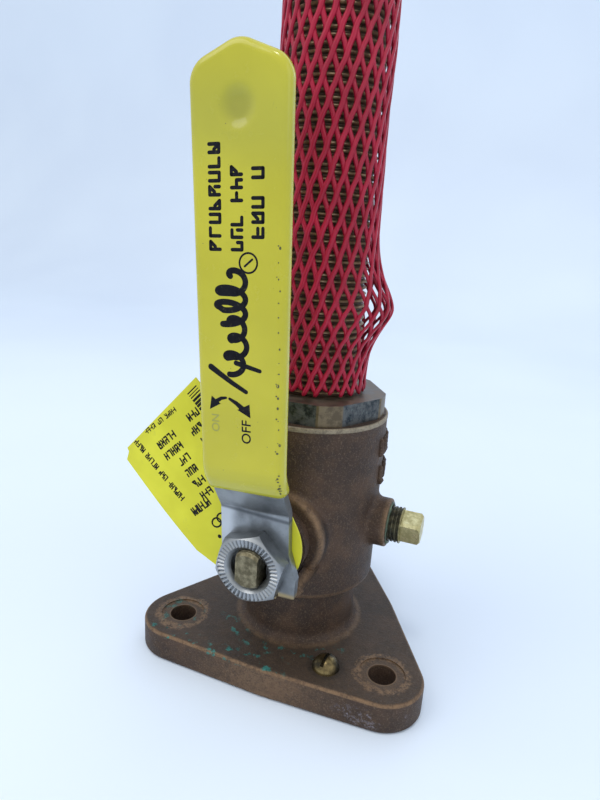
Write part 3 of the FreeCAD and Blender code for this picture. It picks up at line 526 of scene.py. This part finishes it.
class Tubes:
    """Gathers tubes with an oval section into one mesh."""

    TIP = 0.55                     # an open tube's ends narrow to this share

    def __init__(self, sides):
        self.sides = sides
        self.points = []
        self.faces = []

    def add(self, path, across, outward, half_w, half_t, closed=False):
        """path, across and outward give a point and its section's two axes at each step."""
        base = len(self.points)
        count = len(path)
        for index, middle in enumerate(path):
            end = self.TIP if not closed and index in (0, count - 1) else 1.0
            for side in range(self.sides):
                angle = 2 * math.pi * side / self.sides
                self.points.append(middle + across[index] * (half_w * end * math.cos(angle))
                                   + outward[index] * (half_t * end * math.sin(angle)))
        for index in range(count if closed else count - 1):
            here = base + index * self.sides
            there = base + (index + 1) % count * self.sides
            for side in range(self.sides):
                following = (side + 1) % self.sides
                self.faces.append((here + side, here + following, there + following, there + side))
        if not closed:
            self.faces.append([base + side for side in reversed(range(self.sides))])
            last = base + (count - 1) * self.sides
            self.faces.append([last + side for side in range(self.sides)])


# ---- the net over the tail pipe ----

STRANDS = 26  # in each of the two crossing directions
STRAND_HALF_W = 1.02
STRAND_HALF_T = 0.62
NET_R = 18.7
NET_STEP = 0.9
LINGER = 0.36  # how long two strands run together where they cross
BULGE_Z = 143.0
BULGE_ANGLE = math.radians(20.0)
BULGE_OUT = 8.2


def diamond_height(z):
    """The net is bunched up at its foot and stretched most above the bulge."""
    up = min(1.0, max(0.0, (z - 134.0) / 26.0))
    over = min(1.0, max(0.0, (z - 190.0) / 40.0))
    return 11.2 + 3.0 * up * up * (3 - 2 * up) - 1.5 * over * over * (3 - 2 * over)


def net_radius(angle, z):
    side = max(0.0, math.cos(angle - BULGE_ANGLE)) ** 1.3
    away = z - BULGE_Z
    swell = math.exp(-(abs(away) / (13.5 if away > 0 else 10.5)) ** 1.7)
    sag = noise.noise(Vector((math.cos(angle) * 1.6, math.sin(angle) * 1.6, z / 26.0)))
    foot = 0.7 * max(0.0, 1 - (z - NET_LOW) / 5.0)
    return NET_R + BULGE_OUT * side * swell + 0.55 * sag + foot


def net():
    draw = random.Random(11)
    heights, rows = [], []
    z, row = NET_LOW + 0.5, 0.0
    while z < NET_TOP - 0.3:
        heights.append(z)
        rows.append(row)
        row += NET_STEP / diamond_height(z)
        z += NET_STEP
    tubes = Tubes(6)
    width = 2 * math.pi / STRANDS
    for turn in (1, -1):
        for strand in range(STRANDS):
            first = int(draw.random() * 2.6)
            path, across, outward = [], [], []
            for z, row in list(zip(heights, rows))[first:]:
                run = row - LINGER * math.sin(4 * math.pi * row) / (4 * math.pi)
                wander = 0.10 * noise.noise(Vector((strand * 1.7, turn * 3.1, z / 9.0)))
                angle = width * (strand + turn * run + wander)
                radius = net_radius(angle, z) + turn * 0.22
                out = Vector((math.cos(angle), math.sin(angle), 0))
                path.append(out * radius + Vector((0, 0, z)))
                across.append(Vector((-out.y, out.x, 0)))
                outward.append(out)
            tubes.add(path, across, outward, STRAND_HALF_W, STRAND_HALF_T)
    piece = make_piece("net_strands", tubes.points, tubes.faces, SLOTS["net_plastic"], "valve")
    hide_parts("netting_sleeve")


net()


# ---- flat marks in ink ----

class Marks:
    """Gathers flat strokes, each in two coordinates, and lays them on a surface."""

    def __init__(self):
        self.spots = []
        self.faces = []

    def patch(self, corners):
        base = len(self.spots)
        self.spots.extend(corners)
        self.faces.append([base + index for index in range(len(corners))])

    def disc(self, u, v, radius, sides=12, squeeze=1.0):
        angles = [2 * math.pi * side / sides for side in range(sides)]
        self.patch([(u + radius * math.cos(a), v + radius * squeeze * math.sin(a))
                    for a in angles])

    def stroke(self, points, width, end_width=None, round_ends=True):
        """A line of even or tapering width through points."""
        end_width = width if end_width is None else end_width
        count = len(points) - 1
        for index in range(count):
            (u0, v0), (u1, v1) = points[index], points[index + 1]
            length = math.hypot(u1 - u0, v1 - v0)
            nu, nv = -(v1 - v0) / length, (u1 - u0) / length
            w0 = (width + (end_width - width) * index / count) / 2
            w1 = (width + (end_width - width) * (index + 1) / count) / 2
            self.patch([(u0 - nu * w0, v0 - nv * w0), (u1 - nu * w1, v1 - nv * w1),
                        (u1 + nu * w1, v1 + nv * w1), (u0 + nu * w0, v0 + nv * w0)])
            if round_ends or index > 0:
                self.disc(u0, v0, w0, 10)
        if round_ends:
            self.disc(*points[-1], end_width / 2, 10)

    def sign(self, place, width, height, pen, draw):
        """A made-up block sign; place turns its own coordinates into the surface's."""
        strokes = [[(0, 0), (0, height)]]
        if draw.random() < 0.55:
            strokes.append([(width, 0), (width, height * draw.choice((0.45, 1.0)))])
        level = draw.choice((0.0, 0.5, 1.0))
        strokes.append([(0, height * level), (width, height * level)])
        if draw.random() < 0.5:
            other = draw.choice((0.0, 0.5, 1.0))
            strokes.append([(width, height * other), (width * 0.35, height * 0.5)])
        for points in strokes:
            self.stroke([place(*point) for point in points], pen)

    def words(self, start, along, letters, pitch, height, pen, draw):
        """A row of made-up signs; letters lists how many make up each word."""
        length = math.hypot(*along)
        du, dv = along[0] / length, along[1] / length
        step = 0.0
        for count in letters:
            for _ in range(count):
                u0, v0 = start[0] + du * step, start[1] + dv * step

                def place(a, b, u0=u0, v0=v0):
                    return u0 + du * a - dv * b, v0 + dv * a + du * b

                self.sign(place, pitch * 0.58, height, pen, draw)
                step += pitch
            step += pitch * 0.9

    def lay(self, name, onto, material, body):
        points = [onto(u, v) for u, v in self.spots]
        return make_piece(name, points, self.faces, material, body, smooth=False)


def lettering(text, size):
    """The outline faces of a short word, as corners in its own plane."""
    curve = bpy.data.curves.new("word", "FONT")
    curve.body = text
    curve.size = size
    curve.offset = size * 0.012
    holder = bpy.data.objects.new("word", curve)
    bpy.context.scene.collection.objects.link(holder)
    bpy.context.view_layer.update()
    flat = bpy.data.meshes.new_from_object(
        holder.evaluated_get(bpy.context.evaluated_depsgraph_get()))
    faces = [[tuple(flat.vertices[index].co[:2]) for index in face.vertices]
             for face in flat.polygons]
    bpy.data.objects.remove(holder)
    bpy.data.curves.remove(curve)
    bpy.data.meshes.remove(flat)
    return faces


# ---- the vinyl grip ----

PRINT_LIFT = 0.012
GRIP_HALF_T = 3.0
GRIP_ROUND = 2.6  # how far in from its outline the grip's edge is rounded
GRIP_FOOT = 88.0
GRIP_SHOULDER = 210.1
GRIP_APEX = 216.3
GRIP_LOW_HALF_W = 13.7
GRIP_HIGH_HALF_W = 15.0
RAMP_FOOT = 80.0  # the lever's ramp carries the grip outwards from here
RAMP_TOP = 95.5
RAMP_OUT = 8.8
RAMP_BLEND = 3.0
GRIP_INSETS = (0.0, 0.06, 0.22, 0.5, 0.9, 1.4, 2.0, GRIP_ROUND)
GRIP_COLUMNS = 30
GRIP_SIDE_STEPS = 110
GRIP_GABLE_STEPS = 6


def ramp_out(v):
    """How far the lever's middle plane still lies behind the blade at a height."""
    slope = RAMP_OUT / (RAMP_TOP - RAMP_FOOT)
    below = RAMP_TOP - v
    if below <= -RAMP_BLEND:
        return 0.0
    if below < RAMP_BLEND:
        return slope * (below + RAMP_BLEND) ** 2 / (4 * RAMP_BLEND)
    return slope * below


def grip_half_w(v):
    """Half the grip's width at a height; over its shoulders the gable closes in."""
    rise = (v - GRIP_FOOT) / (GRIP_SHOULDER - GRIP_FOOT)
    straight = GRIP_LOW_HALF_W + (GRIP_HIGH_HALF_W - GRIP_LOW_HALF_W) * rise
    gable = GRIP_HIGH_HALF_W * (GRIP_APEX - v) / (GRIP_APEX - GRIP_SHOULDER)
    return min(straight, gable)


def grip_thickness(inset):
    """Half the grip's thickness at a distance in from its outline."""
    if inset >= GRIP_ROUND:
        return GRIP_HALF_T
    short = GRIP_ROUND - max(0.0, inset)
    return GRIP_HALF_T - GRIP_ROUND + math.sqrt(GRIP_ROUND ** 2 - short ** 2)


def grip_point(u, v, half_t, side):
    """A point on the grip's front (side 1) or back (side -1), leaning with the lever."""
    bend = min(1.0, max(0.0, (RAMP_TOP - v) / RAMP_BLEND))
    away = half_t * (1 + 0.15 * bend)
    if side > 0 and half_t > 0.9 * GRIP_HALF_T:
        pit = min(1.0, max(0.0, (6.4 - math.hypot(u, v - DIMPLE_V)) / 4.2))
        away -= 1.15 * pit * pit * (3 - 2 * pit)
        away -= 0.10 + 0.08 * noise.noise(Vector((u / 16.0, v / 30.0, 4.0)))
    up = v - STEM_Z
    return Vector((u * math.cos(LEAN) + up * math.sin(LEAN),
                   GRIP_FRONT + GRIP_HALF_T + ramp_out(v) - side * away,
                   STEM_Z - u * math.sin(LEAN) + up * math.cos(LEAN)))


def on_grip(u, v):
    """A point just over the grip's front face: u across it and v up it."""
    half_t = grip_thickness(grip_half_w(v) - abs(u))
    return grip_point(u, v, half_t, 1) + Vector((0, -PRINT_LIFT, 0))


def inset_corner(corners, index, inset):
    """Where the two edges at a corner meet once both have moved in by inset."""
    u, v = corners[index][:2]
    normals = []
    for (u0, v0), (u1, v1) in ((corners[index - 1][:2], (u, v)),
                               ((u, v), corners[(index + 1) % len(corners)][:2])):
        length = math.hypot(u1 - u0, v1 - v0)
        normals.append((-(v1 - v0) / length, (u1 - u0) / length))
    (a, b), (c, d) = normals
    scale = inset / (1 + a * c + b * d)
    return u + (a + c) * scale, v + (b + d) * scale


def rounded_corner(before, corner, after):
    """Nine points of the arc that rounds a corner; each corner is u, v and a radius."""
    u, v, radius = corner
    arms = []
    for other in (before, after):
        length = math.hypot(other[0] - u, other[1] - v)
        arms.append(((other[0] - u) / length, (other[1] - v) / length))
    (au, av), (bu, bv) = arms
    half = math.acos(au * bu + av * bv) / 2
    reach = radius / math.tan(half)
    start = Vector((u + au * reach, v + av * reach))
    end = Vector((u + bu * reach, v + bv * reach))
    middle = Vector((au + bu, av + bv)).normalized()
    centre = Vector((u, v)) + middle * (radius / math.sin(half))
    return [(start.lerp(end, step / 8) - centre).normalized() * radius + centre
            for step in range(9)]


def between_ends(first, last, count):
    return [first.lerp(last, k / count) for k in range(1, count)]


def grip_ring(inset):
    """The outline moved in: the foot's edge, then the right and left sides up to the apex."""
    corners = [(-GRIP_LOW_HALF_W, GRIP_FOOT, 2.4), (GRIP_LOW_HALF_W, GRIP_FOOT, 3.6),
               (GRIP_HIGH_HALF_W, GRIP_SHOULDER, 7.5), (0.0, GRIP_APEX, 8.0),
               (-GRIP_HIGH_HALF_W, GRIP_SHOULDER, 7.5)]
    moved = [(*inset_corner(corners, k, inset), max(corners[k][2] - inset, 0.5))
             for k in range(len(corners))]
    low_left, low_right, high_right, apex, high_left = (
        rounded_corner(moved[k - 1], moved[k], moved[(k + 1) % len(moved)])
        for k in range(len(moved)))
    foot = ([low_left[-1]] + between_ends(low_left[-1], low_right[0], GRIP_COLUMNS)
            + [low_right[0]])
    right = (low_right[1:] + between_ends(low_right[-1], high_right[0], GRIP_SIDE_STEPS)
             + high_right + between_ends(high_right[-1], apex[0], GRIP_GABLE_STEPS) + apex[:5])
    left = (low_left[-2::-1] + between_ends(low_left[0], high_left[-1], GRIP_SIDE_STEPS)
            + high_left[::-1] + between_ends(high_left[0], apex[-1], GRIP_GABLE_STEPS)
            + apex[:3:-1])
    return foot, right, left


def grip_rim(points, faces):
    """Adds the rounded rim and returns where each side's innermost ring starts."""
    starts = {}
    loop = []
    for side in (1, -1):
        for inset in GRIP_INSETS:
            foot, right, left = grip_ring(inset)
            loop = foot + right + left[-2::-1]
            starts[side, inset] = len(points)
            points.extend(grip_point(u, v, grip_thickness(inset), side) for u, v in loop)
    chain = [starts[1, inset] for inset in reversed(GRIP_INSETS)]
    chain += [starts[-1, inset] for inset in GRIP_INSETS]
    for first, second in zip(chain, chain[1:]):
        for index in range(len(loop)):
            after = (index + 1) % len(loop)
            faces.append((first + index, first + after, second + after, second + index))
    return {side: starts[side, GRIP_ROUND] for side in (1, -1)}


def grip_flat(points, faces, start, side):
    """Adds one side's flat, in rows from foot to apex, inside the ring that begins at start."""
    foot, right, left = grip_ring(GRIP_ROUND)
    ring_length = len(foot) + len(right) + len(left) - 1
    rows = [[start + k for k in range(len(foot))]]
    for step in range(len(right) - 1):
        low, high = left[step], right[step]
        row = [start + (ring_length - 1 - step)]
        for column in range(1, GRIP_COLUMNS):
            u, v = low.lerp(high, column / GRIP_COLUMNS)
            row.append(len(points))
            points.append(grip_point(u, v, GRIP_HALF_T, side))
        row.append(start + len(foot) + step)
        rows.append(row)
    apex = start + len(foot) + len(right) - 1
    added = [(low[k], low[k + 1], high[k + 1], high[k])
             for low, high in zip(rows, rows[1:]) for k in range(GRIP_COLUMNS)]
    added += [(rows[-1][k], rows[-1][k + 1], apex) for k in range(GRIP_COLUMNS)]
    faces.extend(face if side > 0 else face[::-1] for face in added)


def vinyl_grip():
    """The dipped sleeve: full rounded edges, a soft dimple and a little unevenness."""
    points, faces = [], []
    starts = grip_rim(points, faces)
    for side in (1, -1):
        grip_flat(points, faces, starts[side], side)
    piece = make_piece("grip_sleeve", points, faces, SLOTS["grip_vinyl"], "handle")
    face_outwards(piece)
    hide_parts("lever_grip")


def made_up_words(marks, draw):
    """Three short rows of made-up signs up the grip, and a small round mark."""
    up = (0.0, 1.0)
    marks.words((-5.5, 162.8), up, (8,), 3.6, 3.0, 1.0, draw)
    marks.words((1.2, 162.8), up, (3, 3), 3.3, 3.0, 1.0, draw)
    marks.words((7.5, 166.2), up, (3, 1), 3.9, 3.0, 1.0, draw)
    ring = [(3.1 + 2.7 * math.cos(a * math.pi / 12), 159.3 + 2.7 * math.sin(a * math.pi / 12))
            for a in range(25)]
    marks.stroke(ring, 0.55)
    marks.stroke([(2.0, 158.4), (4.3, 160.3)], 0.6)


def pen_flourish(marks):
    """A free pen line up the middle; each loop has a height, a half width and a centre."""
    loops = []
    for v, wide, centre in ((129.0, 2.9, -1.4), (134.2, 2.7, -0.2), (139.2, 2.5, -0.6),
                            (143.6, 4.6, -2.4), (147.6, 4.4, -2.2), (152.4, 2.6, -0.4)):
        for step in range(22):
            angle = math.pi * 2 * step / 22 - 2.2
            loops.append((centre + wide * math.cos(angle),
                          v + 4.6 * step / 22 + 1.9 * math.sin(angle)))
    marks.stroke(loops, 1.75)
    marks.stroke([(-9.2, 129.2), (-6.0, 127.2), (-2.2, 124.9), (2.2, 122.6)], 1.9, 1.3)
    marks.stroke([(-1.0, 131.0), (3.2, 130.0), (6.6, 129.2)], 1.5, 1.2)


def turn_arrows(marks):
    """Two arrows that show which way to turn, each a tapering line and a head."""
    marks.stroke([(-4.4, 120.2), (-6.0, 119.9), (-7.5, 118.9)], 0.8, 1.3)
    marks.patch([(-9.9, 116.1), (-6.2, 118.2), (-9.2, 120.4)])
    marks.stroke([(-3.2, 120.0), (-1.0, 118.9), (1.0, 117.4)], 0.9, 1.7)
    marks.patch([(3.6, 114.8), (3.3, 119.0), (-0.7, 116.9)])


def upright_word(marks, text, size, u, v):
    """A word that reads up the grip from a point."""
    for face in lettering(text, size):
        marks.patch([(u - b, v + a) for a, b in face])


def grip_scuffs(draw):
    """A broken line of specks down the right edge, and a few strays."""
    scuffs = Marks()
    v = 91.5
    while v < 166.0:
        u = 12.55 - (v - 91.0) * 0.004 + draw.uniform(-0.35, 0.35)
        if not 98.0 < v < 104.0:
            scuffs.disc(u, v, draw.uniform(0.16, 0.46), 9, draw.uniform(0.6, 1.5))
            if draw.random() < 0.35:
                scuffs.disc(u - 0.5, v + 0.6, draw.uniform(0.12, 0.3), 8)
        v += draw.uniform(0.6, 1.3) if v < 97.0 else draw.uniform(2.2, 4.8)
    for _ in range(26):
        scuffs.disc(draw.uniform(-11.5, 11.5), draw.uniform(95.0, 200.0),
                    draw.uniform(0.05, 0.14), 7)
    scuffs.lay("grip_scuffs", on_grip, scuff_ink, "handle")


def grip_print():
    draw = random.Random(5)
    marks = Marks()
    made_up_words(marks, draw)
    pen_flourish(marks)
    turn_arrows(marks)
    upright_word(marks, "OFF", 4.2, 3.6, 106.6)
    marks.lay("grip_print", on_grip, grip_ink, "handle")
    faint = Marks()
    upright_word(faint, "ON", 3.6, -6.8, 109.2)
    faint.lay("grip_worn_print", on_grip, faint_ink, "handle")
    grip_scuffs(draw)


vinyl_grip()
grip_print()


# ---- the card tag ----

TAG_DIRECTION = math.radians(136.7)
TAG_HALF_T = 0.26
TAG_HOLE_R = 7.9
TAG_SQUARE = 3


def tag_curl(u, w):
    """How far the card bows away from flat, towards -Y where positive."""
    far = max(0.0, u - 14.0) / 45.0
    edge = (w - 2.4) / 23.0
    return 1.1 * far * far * edge - 1.5 * far * far + 0.35 * math.sin(u / 11.0) * far


def on_tag(u, w, side=1.0):
    """A point of the card: u away from the stem, w across; side 1 is its front face."""
    x = u * math.cos(TAG_DIRECTION) + w * math.sin(TAG_DIRECTION)
    z = u * math.sin(TAG_DIRECTION) - w * math.cos(TAG_DIRECTION)
    return Vector((x, TAG_MID - tag_curl(u, w) - side * TAG_HALF_T, STEM_Z + z))


def tag_outline():
    """The card's edge in u, w: a round end, two straight flares and a far end with a nick."""
    side, shoulder, far, end_r = 2.4, 21.6, 22.9, 17.75
    middle, wrap = 5.6, math.radians(74.0)
    edge = [(15.0, side - shoulder), (56.5, side - far), (58.1, side - far + 3.0),
            (59.5, side - far + 3.4), (59.5, side + far), (15.0, side + shoulder)]
    for step in range(25):
        angle = wrap - 2 * wrap * step / 24
        edge.append((middle - end_r * math.cos(angle), side + end_r * math.sin(angle)))
    return edge


def tag_plan():
    """The card laid flat with its hole, cut into small squares so that it can bow."""
    work = bmesh.new()
    hole = [(TAG_HOLE_R * math.cos(math.pi * k / 18), TAG_HOLE_R * math.sin(math.pi * k / 18))
            for k in range(36)]
    edges = []
    for loop in (tag_outline(), hole):
        spots = [work.verts.new((u, w, 0)) for u, w in loop]
        edges.extend(work.edges.new((a, b)) for a, b in zip(spots, spots[1:] + spots[:1]))
    bmesh.ops.triangle_fill(work, edges=edges, use_beauty=True, normal=(0, 0, 1))
    for axis, low, high in (((1, 0, 0), -12, 60), ((0, 1, 0), -21, 26)):
        for cut in range(low, high, TAG_SQUARE):
            everything = work.verts[:] + work.edges[:] + work.faces[:]
            bmesh.ops.bisect_plane(work, geom=everything, plane_no=axis,
                                   plane_co=[component * cut for component in axis])
    work.verts.index_update()
    return work


def tag_card():
    work = tag_plan()
    flat = [(v.co.x, v.co.y) for v in work.verts]
    count = len(flat)
    points = [on_tag(u, w, 1.0) for u, w in flat] + [on_tag(u, w, -1.0) for u, w in flat]
    faces = []
    for face in work.faces:
        ring = [v.index for v in face.verts]
        faces.append(ring)
        faces.append([count + index for index in reversed(ring)])
    for edge in work.edges:
        if len(edge.link_faces) == 1:
            first, second = (v.index for v in edge.verts)
            faces.append([first, second, count + second, count + first])
    work.free()
    piece = make_piece("tag_sheet", points, faces, SLOTS["tag_card"], "tag", smooth=False)
    face_outwards(piece)
    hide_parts("id_tag")


def tag_print():
    draw = random.Random(23)
    marks = Marks()
    marks.words((56.2, 10.6), (0.1, -1.0), (4, 2, 4), 1.45, 1.5, 0.42, draw)
    marks.words((32.0, -11.0), (1.0, -0.07), (6, 3, 5, 4), 1.33, 2.1, 0.46, draw)
    for row in range(6):
        u = 50.0 - row * 4.6
        marks.words((u, 4.0 - row * 0.35), (0.06, -1.0), (5 if row < 2 else 3,), 1.9, 2.3,
                    0.62, draw)
        marks.words((u, 17.6 - row * 0.5), (0.06, -1.0), (4 if row % 2 else 3,), 1.9, 2.3,
                    0.62, draw)
    marks.words((24.4, -1.6), (0.05, -1.0), (6,), 1.5, 2.6, 0.62, draw)
    # a bar pattern near the upper edge
    u = 48.8
    for _ in range(9):
        thick = draw.choice((0.3, 0.45, 0.9))
        marks.stroke([(u, 18.6), (u, 23.6)], thick, round_ends=False)
        u += thick / 2 + draw.uniform(0.55, 0.8)
    for step in range(5):
        centre = 18.2 + step * 0.2
        ring = [(centre + 1.6 * math.cos(a), -4.6 + step * 2.9 + 1.9 * math.sin(a))
                for a in (math.pi * k / 8 for k in range(17))]
        marks.stroke(ring, 0.62)
    marks.disc(13.8, -7.4, 0.75)
    marks.lay("tag_print", lambda u, w: on_tag(u, w) + Vector((0, -PRINT_LIFT, 0)), tag_ink, "tag")


tag_card()
tag_print()


# ---- raised casting marks and the sealant line ----

MARK_W = 3.6
MARK_H = 7.0
SEALANT_X = 35.1


def barrel_stroke(tubes, base_deg, low_z, start, end):
    """A raised stroke on the barrel, from start to end: millimetres round it and up it."""
    along, rise = end[0] - start[0], end[1] - start[1]
    path, across, outward = [], [], []
    for step in range(9):
        a = start[0] + along * step / 8
        b = start[1] + rise * step / 8
        angle = math.radians(base_deg) + a / BARREL_R
        out = Vector((math.cos(angle), math.sin(angle), 0))
        lump = 0.22 * noise.noise(Vector((a * 0.9, b * 0.9, base_deg)))
        path.append(out * (BARREL_R + 0.30 + lump) + Vector((0, 0, low_z + b)))
        across.append(out.cross(Vector((-out.y * along, out.x * along, rise)).normalized()))
        outward.append(out)
    tubes.add(path, across, outward, 1.05, 1.15)


def casting_marks():
    """Soft raised strokes on the barrel's far side, as a worn casting carries."""
    draw = random.Random(31)
    tubes = Tubes(8)
    for middle_z, first_deg, count in ((92.5, -6.0, 10), (81.0, -2.0, 9)):
        for index in range(count):
            strokes = [((0, 0), (0, MARK_H))]
            strokes.append(((0, MARK_H * draw.choice((0.0, 0.5, 1.0))),
                            (MARK_W, MARK_H * draw.choice((0.0, 0.5, 1.0)))))
            if draw.random() < 0.6:
                strokes.append(((MARK_W, 0), (MARK_W, MARK_H)))
            for start, end in strokes:
                barrel_stroke(tubes, first_deg + index * 11.5, middle_z - MARK_H / 2, start, end)
    piece = make_piece("casting_marks", tubes.points, tubes.faces, SLOTS["cast_bronze"], "valve")


def sealant_line():
    """Thread sealant squeezed out where the drain plug enters its boss."""
    tubes = Tubes(8)
    path, across, outward = [], [], []
    steps = 64
    for step in range(steps):
        angle = 2 * math.pi * step / steps
        out = Vector((0, math.cos(angle), math.sin(angle)))
        lump = noise.noise(out * 3.1)
        path.append(Vector((SEALANT_X, 0, STEM_Z)) + out * (7.75 + 0.25 * lump))
        across.append(Vector((1, 0, 0)) * (1.0 + 0.7 * lump))
        outward.append(out * (1.0 + 0.5 * lump))
    tubes.add(path, across, outward, 0.55, 0.5, closed=True)
    make_piece("sealant_line", tubes.points, tubes.faces, sealant, "valve")


casting_marks()
sealant_line()


# ---- floor, light and camera ----

def sweep():
    """A pale floor that curves up into a backdrop behind the object."""
    look = Look("pale_floor", rgb(0.80, 0.86, 0.95), 0.7)
    drift = look.rise(look.grain(420.0, 2.0), 0.35, 0.7)
    look.set("Base Color", look.mix(drift, rgb(0.76, 0.83, 0.94), rgb(0.80, 0.87, 0.97)))
    half, back, front, bend, top = 3.0, 1.5, -2.2, 0.7, 3.0
    profile = [(front, 0.0), (back - bend, 0.0)]
    for step in range(1, 17):
        angle = math.pi / 2 * step / 16
        profile.append((back - bend + bend * math.sin(angle), bend - bend * math.cos(angle)))
    profile.append((back, top))
    points, faces = [], []
    for y, z in profile:
        points.extend([(-half, y, z), (half, y, z)])
    for index in range(len(profile) - 1):
        low = index * 2
        faces.append((low, low + 1, low + 3, low + 2))
    mesh = bpy.data.meshes.new("floor")
    mesh.from_pydata(points, [], faces)
    mesh.polygons.foreach_set("use_smooth", [True] * len(mesh.polygons))
    mesh.materials.append(look.material)
    floor = bpy.data.objects.new("floor", mesh)
    floor.location.z = -0.0001
    bpy.context.scene.collection.objects.link(floor)


def soft_light(name, place, aim, size, power, colour):
    lamp = bpy.data.lights.new(name, "AREA")
    lamp.shape = "DISK"
    lamp.size = size
    lamp.energy = power
    lamp.color = colour
    holder = bpy.data.objects.new(name, lamp)
    holder.location = place
    holder.rotation_euler = (Vector(aim) - Vector(place)).to_track_quat("-Z", "Y").to_euler()
    bpy.context.scene.collection.objects.link(holder)


sweep()
soft_light("key", (-0.55, -0.55, 1.05), (0, 0, 0.09), 0.8, 3.2, (1.0, 0.985, 0.96))
soft_light("fill", (0.95, -0.35, 0.75), (0, 0, 0.09), 0.9, 1.4, (0.95, 0.98, 1.0))
soft_light("back", (0.2, 0.95, 0.9), (0, 0, 0.12), 0.9, 1.4, (0.97, 0.99, 1.0))
soft_light("glint", (0.02, -0.32, 0.95), (0, 0, 0.12), 0.16, 1.1, (1.0, 0.99, 0.97))

world = bpy.data.worlds.new("room")
world.use_nodes = True
sky = world.node_tree.nodes["Background"]
sky.inputs["Color"].default_value = rgb(0.86, 0.93, 1.0)
sky.inputs["Strength"].default_value = 0.92
scene = bpy.context.scene
scene.world = world
scene.view_settings.view_transform = "Standard"

AZIMUTH = math.radians(20.06)
ELEVATION = math.radians(15.79)
ROLL = math.radians(3.62)
CAMERA_PLACE = Vector((70.77, -209.11, 167.88)) * MM
SENSOR = 36.0  # the frame's longer side
FOCAL_LENGTH = 26.3547

back = Vector((math.sin(AZIMUTH) * math.cos(ELEVATION),
               -math.cos(AZIMUTH) * math.cos(ELEVATION), math.sin(ELEVATION)))
level = Vector((math.cos(AZIMUTH), math.sin(AZIMUTH), 0))
rising = back.cross(level)
right = level * math.cos(ROLL) + rising * math.sin(ROLL)
top = rising * math.cos(ROLL) - level * math.sin(ROLL)
lens = bpy.data.cameras.new("camera")
lens.sensor_width = SENSOR
lens.lens = FOCAL_LENGTH
lens.clip_start = 0.01
camera = bpy.data.objects.new("camera", lens)
turn = Matrix((right, top, back)).transposed().to_4x4()
camera.matrix_world = Matrix.Translation(CAMERA_PLACE) @ turn
bpy.context.scene.collection.objects.link(camera)
scene.camera = camera
